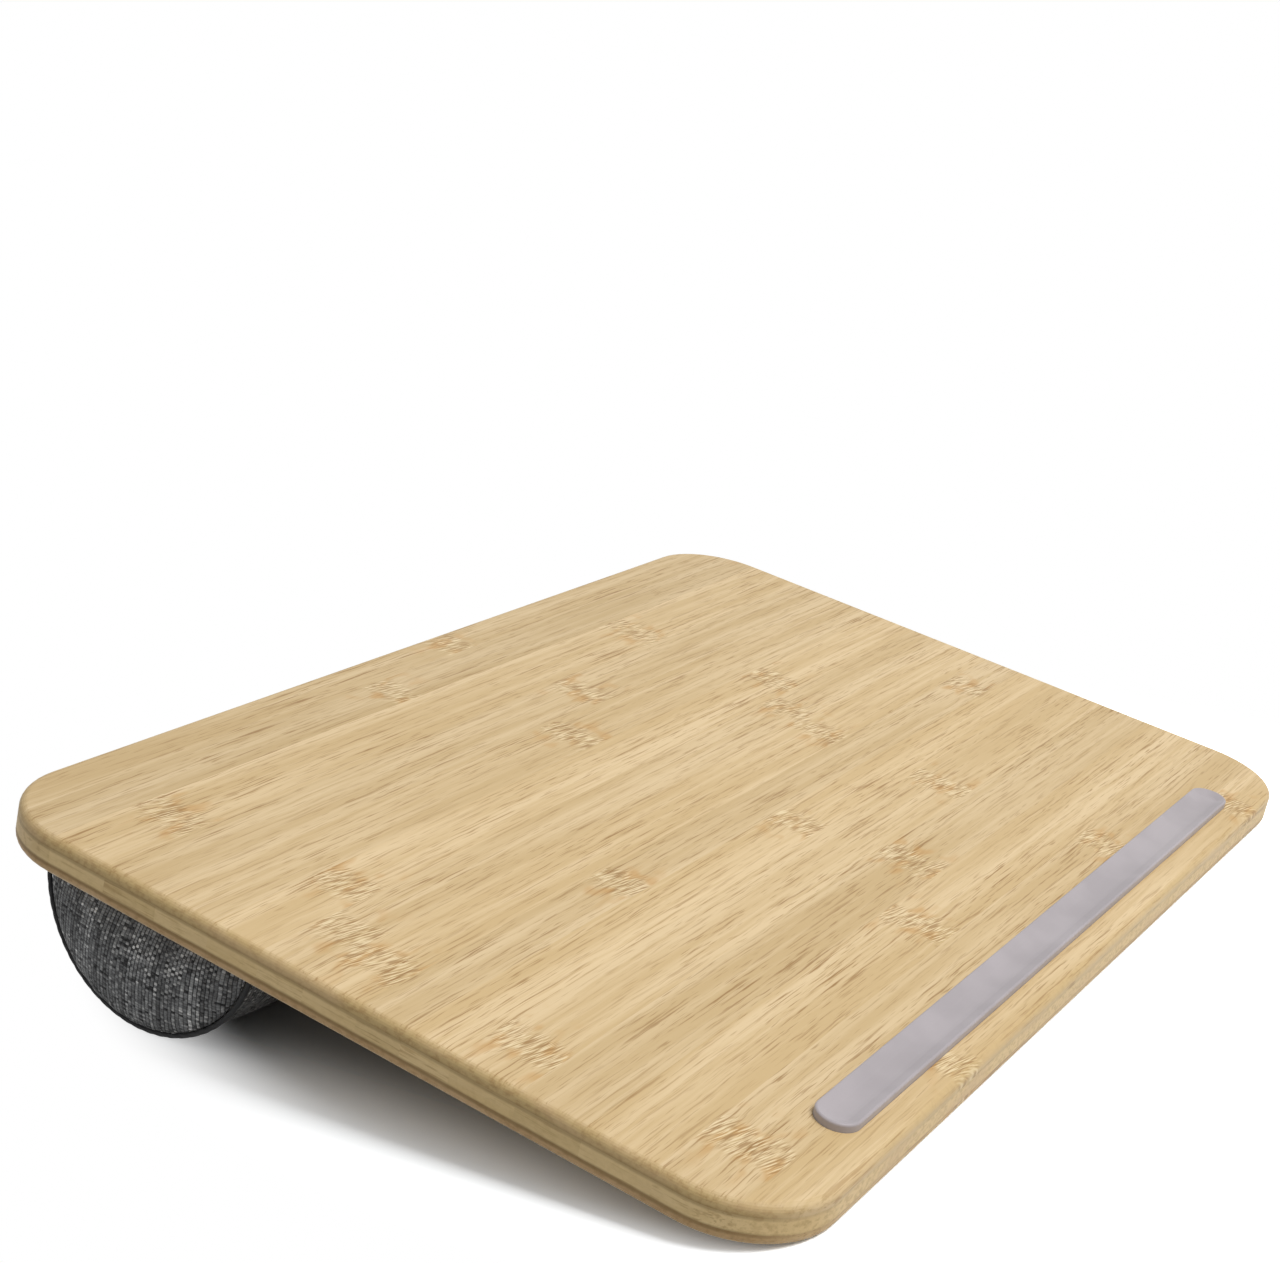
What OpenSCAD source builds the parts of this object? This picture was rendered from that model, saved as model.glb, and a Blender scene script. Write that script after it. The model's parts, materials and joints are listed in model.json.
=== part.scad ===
// Lap desk: a three-ply bamboo board with a silicone stopper strip, on a half-round cushion
// that grips the underside with hook-and-loop tape. It is drawn standing on a floor, tilted
// towards the front. +X runs along the long side, +Y to the back and +Z up.

/* [Board] */
// Length of the board, left to right
board_length = 420; // [400:5:520]
// Depth of the board, front to back
board_depth = 270; // [260:5:330]
// Thickness of the top and the bottom ply
face_ply_thickness = 3.6; // [3:0.1:5]
// Thickness of the core ply
core_ply_thickness = 4.8; // [3:0.1:8]
// Radius of the board's corners, seen from above
corner_radius = 30; // [15:1:60]
// Radius of the rounded edge round the top and the bottom
edge_radius = 2.5; // [1:0.1:2.8]

/* [Stopper strip] */
// Length of the strip
strip_length = 320; // [200:5:340]
// Width of the strip, which has fully round ends
strip_width = 13; // [10:1:20]
// Height of the strip's lip above the board
strip_height = 2.4; // [1.5:0.1:4]
// Distance from the board's front edge to the strip
strip_setback = 9; // [6:0.5:20]
// Depth of the pocket that the strip is glued into
pocket_depth = 1; // [0.6:0.1:2]

/* [Cushion] */
// Distance from the board's end to the cushion's end seam
cushion_end_setback = 15; // [10:1:20]
// Radius of the half-round end seams
cushion_radius = 39; // [34:0.5:44]
// Distance from the board's front edge to the middle of the cushion
cushion_setback = 212.5; // [200:0.5:215]
// How far the main panel swells just past its end seams
panel_swell = 1.6; // [0.5:0.1:3]
// How much fuller the belly of the cushion is at half length
belly_crown = 1.2; // [0:0.1:3]
// How far the end panels bulge outwards
end_bulge = 7; // [3:0.5:10]
// Thickness of the cover's cloth
cloth_thickness = 1.1; // [0.8:0.1:1.5]

/* [Zip] */
// Length of the chain of teeth
chain_length = 300; // [200:10:310]
// Distance from one tooth to the next in the same row
tooth_pitch = 3; // [2.5:0.5:4]

/* [Hidden] */
$fn = 64;
board_thickness = 2 * face_ply_thickness + core_ply_thickness;
cushion_length = board_length - 2 * cushion_end_setback;

// Stopper strip: its rounded lip, the height of its dished floor and the film under it
strip_lip = 0.7;
dish_share = 0.35;
adhesive_thickness = 0.2;
adhesive_margin = 1;

// Hook-and-loop fastening: one layer on the board, one on the cushion
tape_thickness = 0.6;
fastener_gap = 0.2;
fastener_margin = 25;
fastener_length = cushion_length - 2 * fastener_margin;
fastener_width = 20;
fastener_spread = 21;
seat_gap = 2 * tape_thickness + fastener_gap;

// Layers of the cushion, as distances inwards from its outer skin
layer_gap = 0.1;
zip_tape_inset = cloth_thickness + layer_gap;
zip_tape_thickness = 0.6;
slider_room = 2.2;
slider_room_angle = 32;
liner_inset = cloth_thickness + 2 * layer_gap;
liner_thickness = 0.5;
filling_inset = liner_inset + liner_thickness + layer_gap / 2;
piping_radius = 0.8;
end_panel_inset = cloth_thickness + layer_gap;
liner_bulge = end_bulge - 1;

// Tilt at which the front edge and the cushion's flattened belly both touch the floor
floor_flat = 1;
belly_radius = cushion_radius + panel_swell + belly_crown;
tilt = asin((seat_gap + belly_radius - floor_flat) / cushion_setback);
floor_drop = edge_radius * (sin(tilt) + cos(tilt) - 1);
front_reach = edge_radius * cos(tilt) - (board_thickness - edge_radius) * sin(tilt) - edge_radius;
rear_reach = (board_depth - edge_radius) * cos(tilt) - edge_radius * sin(tilt) + edge_radius;
middle = (front_reach + rear_reach) / 2;

// Facets of the cushion's forms
arc_steps = 24;
flat_steps = 5;
length_steps = 6;
bulge_steps = [0.3, 0.6, 0.8, 0.93, 1];
bulge_centre = 0.42 * cushion_radius;
bulge_fullness = 0.6;

// Angle down from the board at which the chain faces back and very slightly up
zip_angle = tilt + 2;
tooth_count = floor(chain_length / tooth_pitch);
tooth_width = 0.44 * tooth_pitch;
tooth_draft = 0.15;
tooth_reach = 1.1;
tooth_root = 1.4;
tooth_outer = 3.2;
tooth_height = 1.6;
tooth_sink = 0.05;
zip_edge = 1.4;
zip_tape_width = 11;
cloth_edge = 6;

stop_length = 1.6;
stop_gap = 1.5;
stop_jaw = 0.5;
slider_length = 11;
slider_width = 8.8;
flange_length = 5;
flange_width = 0.8;
plate_thickness = 0.8;
slider_clearance = 0.2;
tape_room = 0.65;
post_width = 2;
post_setback = 1.6;
bail_wire = 0.6;
bail_radius = 2.2;
tab_length = 22;
tab_width = 6;
tab_thickness = 1;
tab_window = 3.6;
tab_bar = 0.55;
upper_plate = tooth_height - tooth_sink + slider_clearance;
lower_plate = -zip_tape_thickness - tape_room - plate_thickness;
tab_axis_height = upper_plate + plate_thickness + 0.9;
slider_start = chain_length / 2 + 2.2;

bamboo_face = "#dcc08f";
bamboo_core = "#cdb285";
bamboo_base = "#b39162";
silicone_grey = "#b9b3b9";
cloth_grey = "#4c4d50";
thread_black = "#161618";
tape_grey = "#33343a";
liner_white = "#e4e2dc";
bead_white = "#f2f1ec";
metal_grey = "#8b8d92";

// Points along an arc
function arc(centre, radius, from, to, steps) =
    [for (i = [0:steps]) let (a = from + (to - from) * i / steps) centre + radius * [cos(a), sin(a)]];

// The board's own frame, lying flat, with its origin at the middle of the front edge's underside
module in_board_frame() {
    translate([0, -middle, -floor_drop]) rotate([tilt, 0, 0]) children();
}

// Rectangle with rounded corners
module rounded_rectangle(length, depth, radius) {
    square([length - 2 * radius, depth], center = true);
    square([length, depth - 2 * radius], center = true);
    for (x = [-1, 1], y = [-1, 1])
        translate([x * (length / 2 - radius), y * (depth / 2 - radius)]) circle(radius);
}

// Section of a ply's rounded rim, from the flat part outwards
module rim_section(thickness) {
    polygon(concat([[0, 0], [edge_radius, 0]],
        arc([0, thickness - edge_radius], edge_radius, 0, 90, 6)));
}

// Ply with a rounded edge round its top: a flat plate and a rim swept round it
module face_ply(thickness) {
    straight_x = board_length - 2 * corner_radius;
    straight_y = board_depth - 2 * corner_radius;
    flat_radius = corner_radius - edge_radius;
    linear_extrude(thickness)
        rounded_rectangle(board_length - 2 * edge_radius, board_depth - 2 * edge_radius, flat_radius);
    for (turn = [0, 180]) rotate([0, 0, turn]) {
        translate([-straight_x / 2, -board_depth / 2 + edge_radius, 0])
            rotate([90, 0, 90]) linear_extrude(straight_x) mirror([1, 0, 0]) rim_section(thickness);
        translate([board_length / 2 - edge_radius, straight_y / 2, 0])
            rotate([90, 0, 0]) linear_extrude(straight_y) rim_section(thickness);
        translate([straight_x / 2, straight_y / 2, 0])
            rotate_extrude(angle = 90) translate([flat_radius, 0]) rim_section(thickness);
        translate([-straight_x / 2, straight_y / 2, 0])
            rotate([0, 0, 90]) rotate_extrude(angle = 90) translate([flat_radius, 0]) rim_section(thickness);
    }
}

// Places the middle of a ply at a height above the board's underside
module at_board_height(height) {
    in_board_frame() translate([0, board_depth / 2, height]) children();
}

// Puts a piece where the stopper strip lies, with its origin on the pocket's floor
module at_strip() {
    at_board_height(board_thickness - pocket_depth)
        translate([0, strip_setback + strip_width / 2 - board_depth / 2, 0]) children();
}

// Straight bar with fully round ends, swept from one half of its section
module round_ended_bar(length, width) {
    run = length - width;
    for (side = [0, 180]) rotate([0, 0, side]) {
        translate([run / 2, 0, 0]) rotate([0, 0, -90]) rotate_extrude(angle = 180) children();
        translate([-run / 2, 0, 0]) rotate([90, 0, 90]) linear_extrude(run) children();
    }
}

module top_ply() {
    color(bamboo_face) difference() {
        at_board_height(board_thickness - face_ply_thickness) face_ply(face_ply_thickness);
        at_strip() round_ended_bar(strip_length + 2 * layer_gap, strip_width + 2 * layer_gap)
            square([strip_width / 2 + layer_gap, 2 * pocket_depth]);
    }
}

module core_ply() {
    color(bamboo_core) at_board_height(face_ply_thickness)
        linear_extrude(core_ply_thickness) rounded_rectangle(board_length, board_depth, corner_radius);
}

module bottom_ply() {
    color(bamboo_base) at_board_height(face_ply_thickness)
        mirror([0, 0, 1]) face_ply(face_ply_thickness);
}

// Half of the strip's section: a rounded lip outside and a shallow dish inside
module strip_section() {
    half = strip_width / 2;
    bottom = adhesive_thickness;
    top = pocket_depth + strip_height;
    dish_floor = pocket_depth + strip_height * dish_share;
    polygon(concat(
        [[0, bottom], [half, bottom]],
        arc([half - strip_lip, top - strip_lip], strip_lip, 0, 90, 4),
        [for (i = [1:5]) let (u = 1 - i / 5)
            [(half - 2 * strip_lip) * u, dish_floor + (top - dish_floor) * pow(u, 3)]]));
}

module stopper_strip() {
    color(silicone_grey) at_strip() round_ended_bar(strip_length, strip_width) strip_section();
}

module stopper_adhesive() {
    width = strip_width - 2 * adhesive_margin;
    color(tape_grey) at_strip() round_ended_bar(strip_length - 2 * adhesive_margin, width)
        square([width / 2, adhesive_thickness]);
}

// One length of fastening tape, at a distance behind the cushion's middle
module fastener_tape(behind, top) {
    in_board_frame() translate([0, cushion_setback + behind, top - tape_thickness / 2])
        cube([fastener_length, fastener_width, tape_thickness], center = true);
}

module hook_tape_front() {
    color(tape_grey) fastener_tape(-fastener_spread, 0);
}

module hook_tape_rear() {
    color(tape_grey) fastener_tape(fastener_spread, 0);
}

module loop_tape_front() {
    color(tape_grey) fastener_tape(-fastener_spread, -tape_thickness - fastener_gap);
}

module loop_tape_rear() {
    color(tape_grey) fastener_tape(fastener_spread, -tape_thickness - fastener_gap);
}

// Radius of the cushion's skin: round at its end seams, fuller in between, and drawn in
// where the cover is sewn to its top panel. The angle runs down from the rear top edge.
function swell(x, angle) = let (u = abs(x) / (cushion_length / 2))
    panel_swell * (1 - pow(u, 12)) * (1 - pow(1 - sin(angle), 3))
    + belly_crown * (1 - u * u) * sin(angle) * sin(angle);

// Point of the skin, or of a layer set in from it, under a flat lid at the top
function section_point(x, angle, inset, lid) = let (r = cushion_radius + swell(x, angle) - inset)
    [r * cos(angle), min(-r * sin(angle), -lid)];

// Turns a point of the cushion's section into the row's own frame, pressed flat by the floor
function placed(x, p, inset) =
    let (
        v = cushion_setback + p[0],
        w = p[1] - seat_gap,
        z = v * sin(tilt) + w * cos(tilt) - floor_drop)
    [x, v * cos(tilt) - w * sin(tilt) - middle, max(z, inset)];

// Stations along the cushion, closer together towards its ends
function stations(half) = [for (i = [-length_steps:length_steps]) half * sin(90 * i / length_steps)];

// Closed loop round the cushion's section: the round belly and the flat top
function section_loop(x, inset, lid, room) =
    let (
        round = [for (i = [0:arc_steps]) let (a = 180 * i / arc_steps)
            section_point(x, a, inset + (a < slider_room_angle ? room : 0), lid)],
        front = round[arc_steps],
        rear = round[0])
    concat(round, [for (i = [1:flat_steps - 1]) front + (rear - front) * i / flat_steps]);

// Loop shrunk towards the middle of the section and moved outwards, for a bulging end
function bulge_loop(loop, share) = let (centre = [0, -bulge_centre])
    [for (p = loop) centre + (p - centre) * share];
function bulge_at(share, height) = height * pow(1 - share * share, bulge_fullness);

// Solid through a row of loops, closed at both ends by a fan
module loop_solid(loops) {
    count = len(loops[0]);
    rows = len(loops);
    last = count * rows;
    first_middle = mean(loops[0]);
    last_middle = mean(loops[rows - 1]);
    polyhedron(
        points = concat([for (loop = loops) each loop], [first_middle, last_middle]),
        faces = concat(
            [for (k = [0:rows - 2], i = [0:count - 1]) let (j = (i + 1) % count)
                each [[k * count + i, k * count + j, (k + 1) * count + i],
                      [k * count + j, (k + 1) * count + j, (k + 1) * count + i]]],
            [for (i = [0:count - 1]) [last, (i + 1) % count, i]],
            [for (i = [0:count - 1]) [last + 1, last - count + i, last - count + (i + 1) % count]]));
}
function mean(points) = [for (a = [0:2]) sum([for (p = points) p[a]]) / len(points)];
function sum(values) = [for (v = values) 1] * values;

// Filled cushion shape, set in from the skin by one distance
module pillow(inset, room) {
    half = cushion_length / 2 - inset - 2 * layer_gap;
    rim = section_loop(half, inset, inset, room);
    ends = [for (side = [-1, 1]) [for (share = bulge_steps) [for (p = bulge_loop(rim, share))
        placed(side * (half + bulge_at(share, liner_bulge)), p, inset)]]];
    body = [for (s = stations(cushion_length / 2)) let (x = max(-half, min(half, s)))
        [for (p = section_loop(x, inset, inset, room)) placed(x, p, inset)]];
    shares = len(bulge_steps);
    loop_solid(concat(
        [for (i = [0:shares - 2]) ends[0][i]],
        body,
        [for (i = [shares - 2:-1:0]) ends[1][i]]));
}

// Sheet of one thickness that follows the skin between two angles
module skin_sheet(from, to, inset, thickness, steps) {
    xs = stations(cushion_length / 2);
    function row(x, depth) = [for (i = [0:steps]) let (a = from + (to - from) * i / steps)
        placed(x, section_point(x, a, depth, 0), depth)];
    loops = [for (x = xs) concat(row(x, inset), [for (i = [0:steps]) row(x, inset + thickness)[steps - i]])];
    count = 2 * (steps + 1);
    rows = len(xs);
    polyhedron(
        points = [for (loop = loops) each loop],
        faces = concat(
            [for (k = [0:rows - 2], i = [0:count - 1]) let (j = (i + 1) % count)
                each [[k * count + i, k * count + j, (k + 1) * count + i],
                      [k * count + j, (k + 1) * count + j, (k + 1) * count + i]]],
            [for (i = [0:steps - 1]) each end_pair(0, i, count, false)],
            [for (i = [0:steps - 1]) each end_pair((rows - 1) * count, i, count, true)]));
}
function end_pair(base, i, count, flip) =
    let (a = base + i, b = base + i + 1, c = base + count - 2 - i, d = base + count - 1 - i)
    flip ? [[a, b, c], [a, c, d]] : [[c, b, a], [d, c, a]];

module cover_top_panel() {
    half_width = cushion_radius - zip_tape_inset - zip_tape_thickness - layer_gap;
    color(cloth_grey) in_board_frame()
        translate([0, cushion_setback, -seat_gap - cloth_thickness / 2])
            cube([cushion_length - 3 * cloth_thickness, 2 * half_width, cloth_thickness], center = true);
}

module cover_main_panel() {
    opening = zip_angle + surface_angle(cloth_edge);
    color(cloth_grey) skin_sheet(opening, 180, 0, cloth_thickness, 21);
}
function surface_angle(distance) = distance / cushion_radius * 180 / PI;

// Bulging end panel, sewn in just inside the end of the main panel
module end_panel(side) {
    half = cushion_length / 2;
    rim = section_loop(half, end_panel_inset, end_panel_inset, zip_tape_thickness + layer_gap);
    function dome(share, depth) = [for (p = bulge_loop(rim, share))
        placed(side * (half + bulge_at(share, end_bulge) - depth), p, 0)];
    shares = len(bulge_steps);
    outside = [for (i = [0:shares - 1]) dome(bulge_steps[i], 0)];
    inside = [for (i = [shares - 1:-1:0]) dome(bulge_steps[i], cloth_thickness)];
    color(cloth_grey) loop_solid(side < 0 ? concat(outside, inside)
        : [for (i = [2 * shares - 1:-1:0]) concat(outside, inside)[i]]);
}

module cover_end_left() {
    end_panel(-1);
}

module cover_end_right() {
    end_panel(1);
}

// Cord sewn all round an end seam: over the half circle and back along the flat top
module piping(side) {
    color(thread_black) in_board_frame()
        translate([side * (cushion_length / 2 + piping_radius), cushion_setback, -seat_gap]) {
            rotate([0, -90, 0]) rotate([0, 0, 90]) rotate_extrude(angle = 180)
                translate([cushion_radius, 0]) circle(piping_radius);
            rotate([90, 0, 0]) cylinder(r = piping_radius, h = 2 * cushion_radius, center = true);
            for (y = [-1, 1]) translate([0, y * cushion_radius, 0]) sphere(piping_radius);
        }
}

module piping_left() {
    piping(-1);
}

module piping_right() {
    piping(1);
}

module zip_tape_upper() {
    color(tape_grey) skin_sheet(0.5, zip_angle - surface_angle(zip_edge),
        zip_tape_inset, zip_tape_thickness, 2);
}

module zip_tape_lower() {
    edge = zip_angle + surface_angle(zip_edge);
    color(tape_grey) skin_sheet(edge, edge + surface_angle(zip_tape_width),
        zip_tape_inset, zip_tape_thickness, 3);
}

// The zip's own frame: X along the chain, Y down the cloth and Z outwards from the tapes
function on_tape(distance) =
    placed(0, section_point(0, zip_angle + surface_angle(distance), zip_tape_inset, 0), 0);
module in_zip_frame() {
    upper = on_tape(-zip_edge);
    lower = on_tape(zip_edge);
    across = lower - upper;
    translate((upper + lower) / 2) rotate([atan2(across[2], across[1]), 0, 0]) children();
}

// One row of teeth on its rib, with the teeth pointing at the other row
module tooth_row(shift) {
    start = -tooth_count * tooth_pitch / 2;
    root = tooth_width / 2;
    tip = root - tooth_draft;
    linear_extrude(tooth_height) polygon(concat(
        [[start, tooth_root], [start, tooth_outer], [-start, tooth_outer], [-start, tooth_root]],
        [for (i = [tooth_count - 1:-1:0])
            let (x = start + (i + shift) * tooth_pitch)
            each [[x + root, tooth_root], [x + tip, -tooth_reach],
                  [x - tip, -tooth_reach], [x - root, tooth_root]]]));
}

module zip_teeth_upper() {
    color(thread_black) in_zip_frame() translate([0, 0, -tooth_sink])
        mirror([0, 1, 0]) tooth_row(0.25);
}

module zip_teeth_lower() {
    color(thread_black) in_zip_frame() translate([0, 0, -tooth_sink]) tooth_row(0.75);
}

// Stop crimped over both tapes at one end of the chain: two jaws and the web between the tapes
module zip_stop(side) {
    place = stop_gap + (side > 0 ? slider_start + slider_length / 2 : chain_length / 2);
    slot = zip_tape_thickness + tape_room + layer_gap;
    color(metal_grey) in_zip_frame() translate([side * place, 0, layer_gap]) {
        for (height = [stop_jaw / 2, -slot - stop_jaw / 2])
            translate([0, 0, height]) cube([stop_length, 2 * tooth_outer, stop_jaw], center = true);
        translate([0, 0, -slot / 2]) cube([stop_length, zip_edge, slot], center = true);
    }
}

module zip_stop_left() {
    zip_stop(-1);
}

module zip_stop_right() {
    zip_stop(1);
}

// Outline of the slider's plates: a straight mouth at the tail and a rounded shoulder in front
module slider_outline() {
    half = slider_width / 2;
    tail = slider_length / 2;
    shoulder = 2;
    taper = 1.2;
    polygon(concat(
        [[taper - tail + 2, -half], [-tail, taper - half], [-tail, half - taper], [taper - tail + 2, half]],
        arc([tail - shoulder, half - shoulder], shoulder, 90, 0, 4),
        arc([tail - shoulder, shoulder - half], shoulder, 0, -90, 4)));
}

// Slider: two plates that hold the rows between them, flanges beside the teeth, the post
// that parts the rows, and the bail that carries the pull tab
module zip_slider() {
    flange_foot = 2 * slider_clearance;
    flange_height = upper_plate + plate_thickness / 2 - flange_foot;
    color(metal_grey) in_zip_frame() translate([slider_start, 0, 0]) {
        for (height = [lower_plate, upper_plate])
            translate([0, 0, height]) linear_extrude(plate_thickness) slider_outline();
        for (side = [-1, 1])
            translate([0, side * (slider_width - flange_width) / 2, flange_foot + flange_height / 2])
                cube([flange_length, flange_width, flange_height], center = true);
        translate([slider_length / 2 - post_setback, 0, lower_plate + plate_thickness / 2])
            cylinder(d = post_width, h = upper_plate - lower_plate);
        translate([0, 0, upper_plate + plate_thickness])
            rotate([90, 0, 0]) rotate_extrude(angle = 180) translate([bail_radius, 0]) circle(bail_wire);
    }
}

// Pull tab: a flat bar with a window, whose end bar lies under the slider's bail
module zip_pull_tab() {
    color(metal_grey) in_zip_frame() translate([slider_start, 0, tab_axis_height]) {
        rotate([90, 0, 0]) cylinder(r = tab_bar, h = tab_width, center = true);
        translate([0, 0, -tab_thickness / 2]) linear_extrude(tab_thickness) difference() {
            union() {
                translate([0, -tab_width / 2]) square([tab_length - tab_width / 2, tab_width]);
                translate([tab_length - tab_width / 2, 0]) circle(d = tab_width);
            }
            translate([-1, -tab_window / 2]) square([tab_window + 1, tab_window]);
        }
    }
}

module liner() {
    color(liner_white) difference() {
        pillow(liner_inset, slider_room);
        pillow(liner_inset + liner_thickness, slider_room);
    }
}

module bead_filling() {
    color(bead_white) pillow(filling_inset, slider_room);
}

top_ply();
core_ply();
bottom_ply();
stopper_strip();
stopper_adhesive();
hook_tape_front();
hook_tape_rear();
loop_tape_front();
loop_tape_rear();
cover_top_panel();
cover_main_panel();
cover_end_left();
cover_end_right();
piping_left();
piping_right();
zip_tape_upper();
zip_tape_lower();
zip_teeth_upper();
zip_teeth_lower();
zip_stop_left();
zip_stop_right();
zip_slider();
zip_pull_tab();
liner();
bead_filling();
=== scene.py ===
"""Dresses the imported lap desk.

The board's plies, the stopper strip and the zip's hard parts keep their solids and get finishes.
The cushion's soft pieces are modelled here: a stuffed cover cut into its sewn panels, twisted
piping, woven tapes with their stitches, the liner and the beads.
"""

import json
import logging
import math
from dataclasses import dataclass, field
from enum import Enum

import bpy
import numpy as np
from mathutils import Matrix, Vector


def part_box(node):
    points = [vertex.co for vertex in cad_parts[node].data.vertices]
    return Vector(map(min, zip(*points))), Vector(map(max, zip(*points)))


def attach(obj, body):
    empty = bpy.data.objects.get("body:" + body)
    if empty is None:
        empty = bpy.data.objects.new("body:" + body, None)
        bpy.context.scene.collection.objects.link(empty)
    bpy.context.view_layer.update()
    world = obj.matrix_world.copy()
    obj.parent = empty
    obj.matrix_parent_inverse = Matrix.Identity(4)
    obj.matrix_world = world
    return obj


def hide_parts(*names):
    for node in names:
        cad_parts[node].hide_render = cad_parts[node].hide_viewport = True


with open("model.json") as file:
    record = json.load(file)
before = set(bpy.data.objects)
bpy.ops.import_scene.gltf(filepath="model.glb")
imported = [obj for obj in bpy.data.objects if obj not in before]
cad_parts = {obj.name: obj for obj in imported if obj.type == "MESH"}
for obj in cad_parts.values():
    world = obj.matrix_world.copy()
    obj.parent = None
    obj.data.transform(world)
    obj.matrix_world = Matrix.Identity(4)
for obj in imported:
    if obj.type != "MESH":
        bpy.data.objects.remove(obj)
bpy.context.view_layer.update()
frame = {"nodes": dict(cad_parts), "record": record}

MM = 0.001
WEAVE = "weave"
logger = logging.getLogger("lap_desk")

Socket = bpy.types.NodeSocket
Pair = tuple[float, float]
Triple = tuple[float, float, float]
Input = float | tuple | Socket


class Fade(Enum):
    """How a value passes from one level to another."""

    LINEAR = "LINEAR"
    SMOOTH = "SMOOTHSTEP"


class Grain(Enum):
    """Direction of a ply's fibres."""

    ALONG_BOARD = "x"
    ACROSS_BOARD = "y"

    def scale(self, along: float, across: float, up: float) -> Triple:
        """Waves per metre along the board's X, Y and Z.

        Args:
            along: Waves per metre along the fibres.
            across: Waves per metre across them, in the plane of the ply.
            up: Waves per metre through the ply.

        Returns:
            The three scales.
        """
        return (along, across, up) if self is Grain.ALONG_BOARD else (across, along, up)


class Side(Enum):
    """The cushion's two ends."""

    LEFT = -1
    RIGHT = 1

    @property
    def word(self) -> str:
        """The side's name, as the pieces use it."""
        return self.name.lower()


class Graph:
    """A material's nodes round one Principled shader, with a short call for each kind of node."""

    def __init__(self, name: str) -> None:
        """Starts a material.

        Args:
            name: The material's name.
        """
        self.material = bpy.data.materials.new(name)
        self.material.use_nodes = True
        self.tree = self.material.node_tree
        self.tree.nodes.clear()
        self.shader = self.add("ShaderNodeBsdfPrincipled")
        self.output = self.add("ShaderNodeOutputMaterial")
        self.tree.links.new(self.shader.outputs["BSDF"], self.output.inputs["Surface"])

    def add(self, kind: str, **settings: object) -> bpy.types.Node:
        """Adds a node.

        Args:
            kind: The node's type name.
            settings: The node's properties.

        Returns:
            The node.
        """
        node = self.tree.nodes.new(kind)
        for name, value in settings.items():
            setattr(node, name, value)
        return node

    def feed(self, socket: Socket, value: Input) -> None:
        """Links an input to an output, or sets its value.

        Args:
            socket: The input.
            value: An output, a number, a vector or a colour.
        """
        if isinstance(value, bpy.types.NodeSocket):
            self.tree.links.new(value, socket)
        elif socket.type == "RGBA" and len(value) == 3:
            socket.default_value = (*value, 1.0)
        else:
            socket.default_value = value

    def finish(self, **values: Input) -> None:
        """Feeds the shader's inputs, named in lower case with _ for a space."""
        for socket in self.shader.inputs:
            word = socket.name.lower().replace(" ", "_")
            if word in values:
                self.feed(socket, values[word])

    def math(self, operation: str, *values: Input) -> Socket:
        """One math node.

        Args:
            operation: What it works out.
            values: Its inputs, in order.

        Returns:
            The result.
        """
        node = self.add("ShaderNodeMath", operation=operation)
        for socket, value in zip(node.inputs, values):
            self.feed(socket, value)
        return node.outputs[0]

    def times(self, first: Input, second: Input) -> Socket:
        """The product of two numbers."""
        return self.math("MULTIPLY", first, second)

    def plus(self, first: Input, second: Input) -> Socket:
        """The sum of two numbers."""
        return self.math("ADD", first, second)

    def vector(self, operation: str, first: Input, second: Input) -> Socket:
        """One vector math node with two inputs."""
        node = self.add("ShaderNodeVectorMath", operation=operation)
        self.feed(node.inputs[0], first)
        self.feed(node.inputs[1], second)
        return node.outputs[0]

    def join(self, x: Input, y: Input = 0.0, z: Input = 0.0) -> Socket:
        """A vector made of three numbers."""
        node = self.add("ShaderNodeCombineXYZ")
        for socket, value in zip(node.inputs, (x, y, z)):
            self.feed(socket, value)
        return node.outputs[0]

    def split(self, vector: Socket) -> tuple[Socket, Socket, Socket]:
        """The three numbers of a vector."""
        node = self.add("ShaderNodeSeparateXYZ")
        self.feed(node.inputs[0], vector)
        return tuple(node.outputs)

    def here(self) -> Socket:
        """A surface's place in its own object, in metres."""
        return self.add("ShaderNodeTexCoord").outputs["Object"]

    def noise(self, at: Socket, scale: Triple, detail: float = 2.0, roughness: float = 0.5) -> Socket:
        """Smooth noise from 0 to 1, stretched along the axes.

        Args:
            at: The place, in metres.
            scale: Waves per metre along each axis.
            detail: How many finer layers are added.
            roughness: Strength of the finer layers.

        Returns:
            The noise.
        """
        node = self.add("ShaderNodeTexNoise")
        self.feed(node.inputs["Vector"], self.vector("MULTIPLY", at, scale))
        for name, value in (("Scale", 1.0), ("Detail", detail), ("Roughness", roughness)):
            node.inputs[name].default_value = value
        return node.outputs[0]

    def wobble(self, size: float, *noise: Input) -> Socket:
        """Smooth noise round zero.

        Args:
            size: Its whole range, from the lowest to the highest.
            noise: What noise() takes.

        Returns:
            The noise, from -size / 2 to size / 2.
        """
        return self.times(self.plus(self.noise(*noise), -0.5), size)

    def fade(self, value: Input, start: float, end: float, low: float = 0.0, high: float = 1.0,
             kind: Fade = Fade.SMOOTH) -> Socket:
        """Passes from low to high while a value goes from start to end.

        Args:
            value: The value.
            start: Where the change starts.
            end: Where it ends, which may be below the start.
            low: The result before it.
            high: The result after it.
            kind: How it passes.

        Returns:
            The result.
        """
        node = self.add("ShaderNodeMapRange", interpolation_type=kind.value)
        for name, number in (("Value", value), ("From Min", start), ("From Max", end),
                             ("To Min", low), ("To Max", high)):
            self.feed(node.inputs[name], number)
        return node.outputs[0]

    def mix(self, share: Input, first: Input, second: Input, blend: str = "MIX") -> Socket:
        """Mixes two colours by a share from 0 to 1."""
        node = self.add("ShaderNodeMix", data_type="RGBA", blend_type=blend)
        sockets = {socket.identifier: socket for socket in node.inputs}
        self.feed(sockets["Factor_Float"], share)
        self.feed(sockets["A_Color"], first)
        self.feed(sockets["B_Color"], second)
        return next(socket for socket in node.outputs if socket.identifier == "Result_Color")

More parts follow.
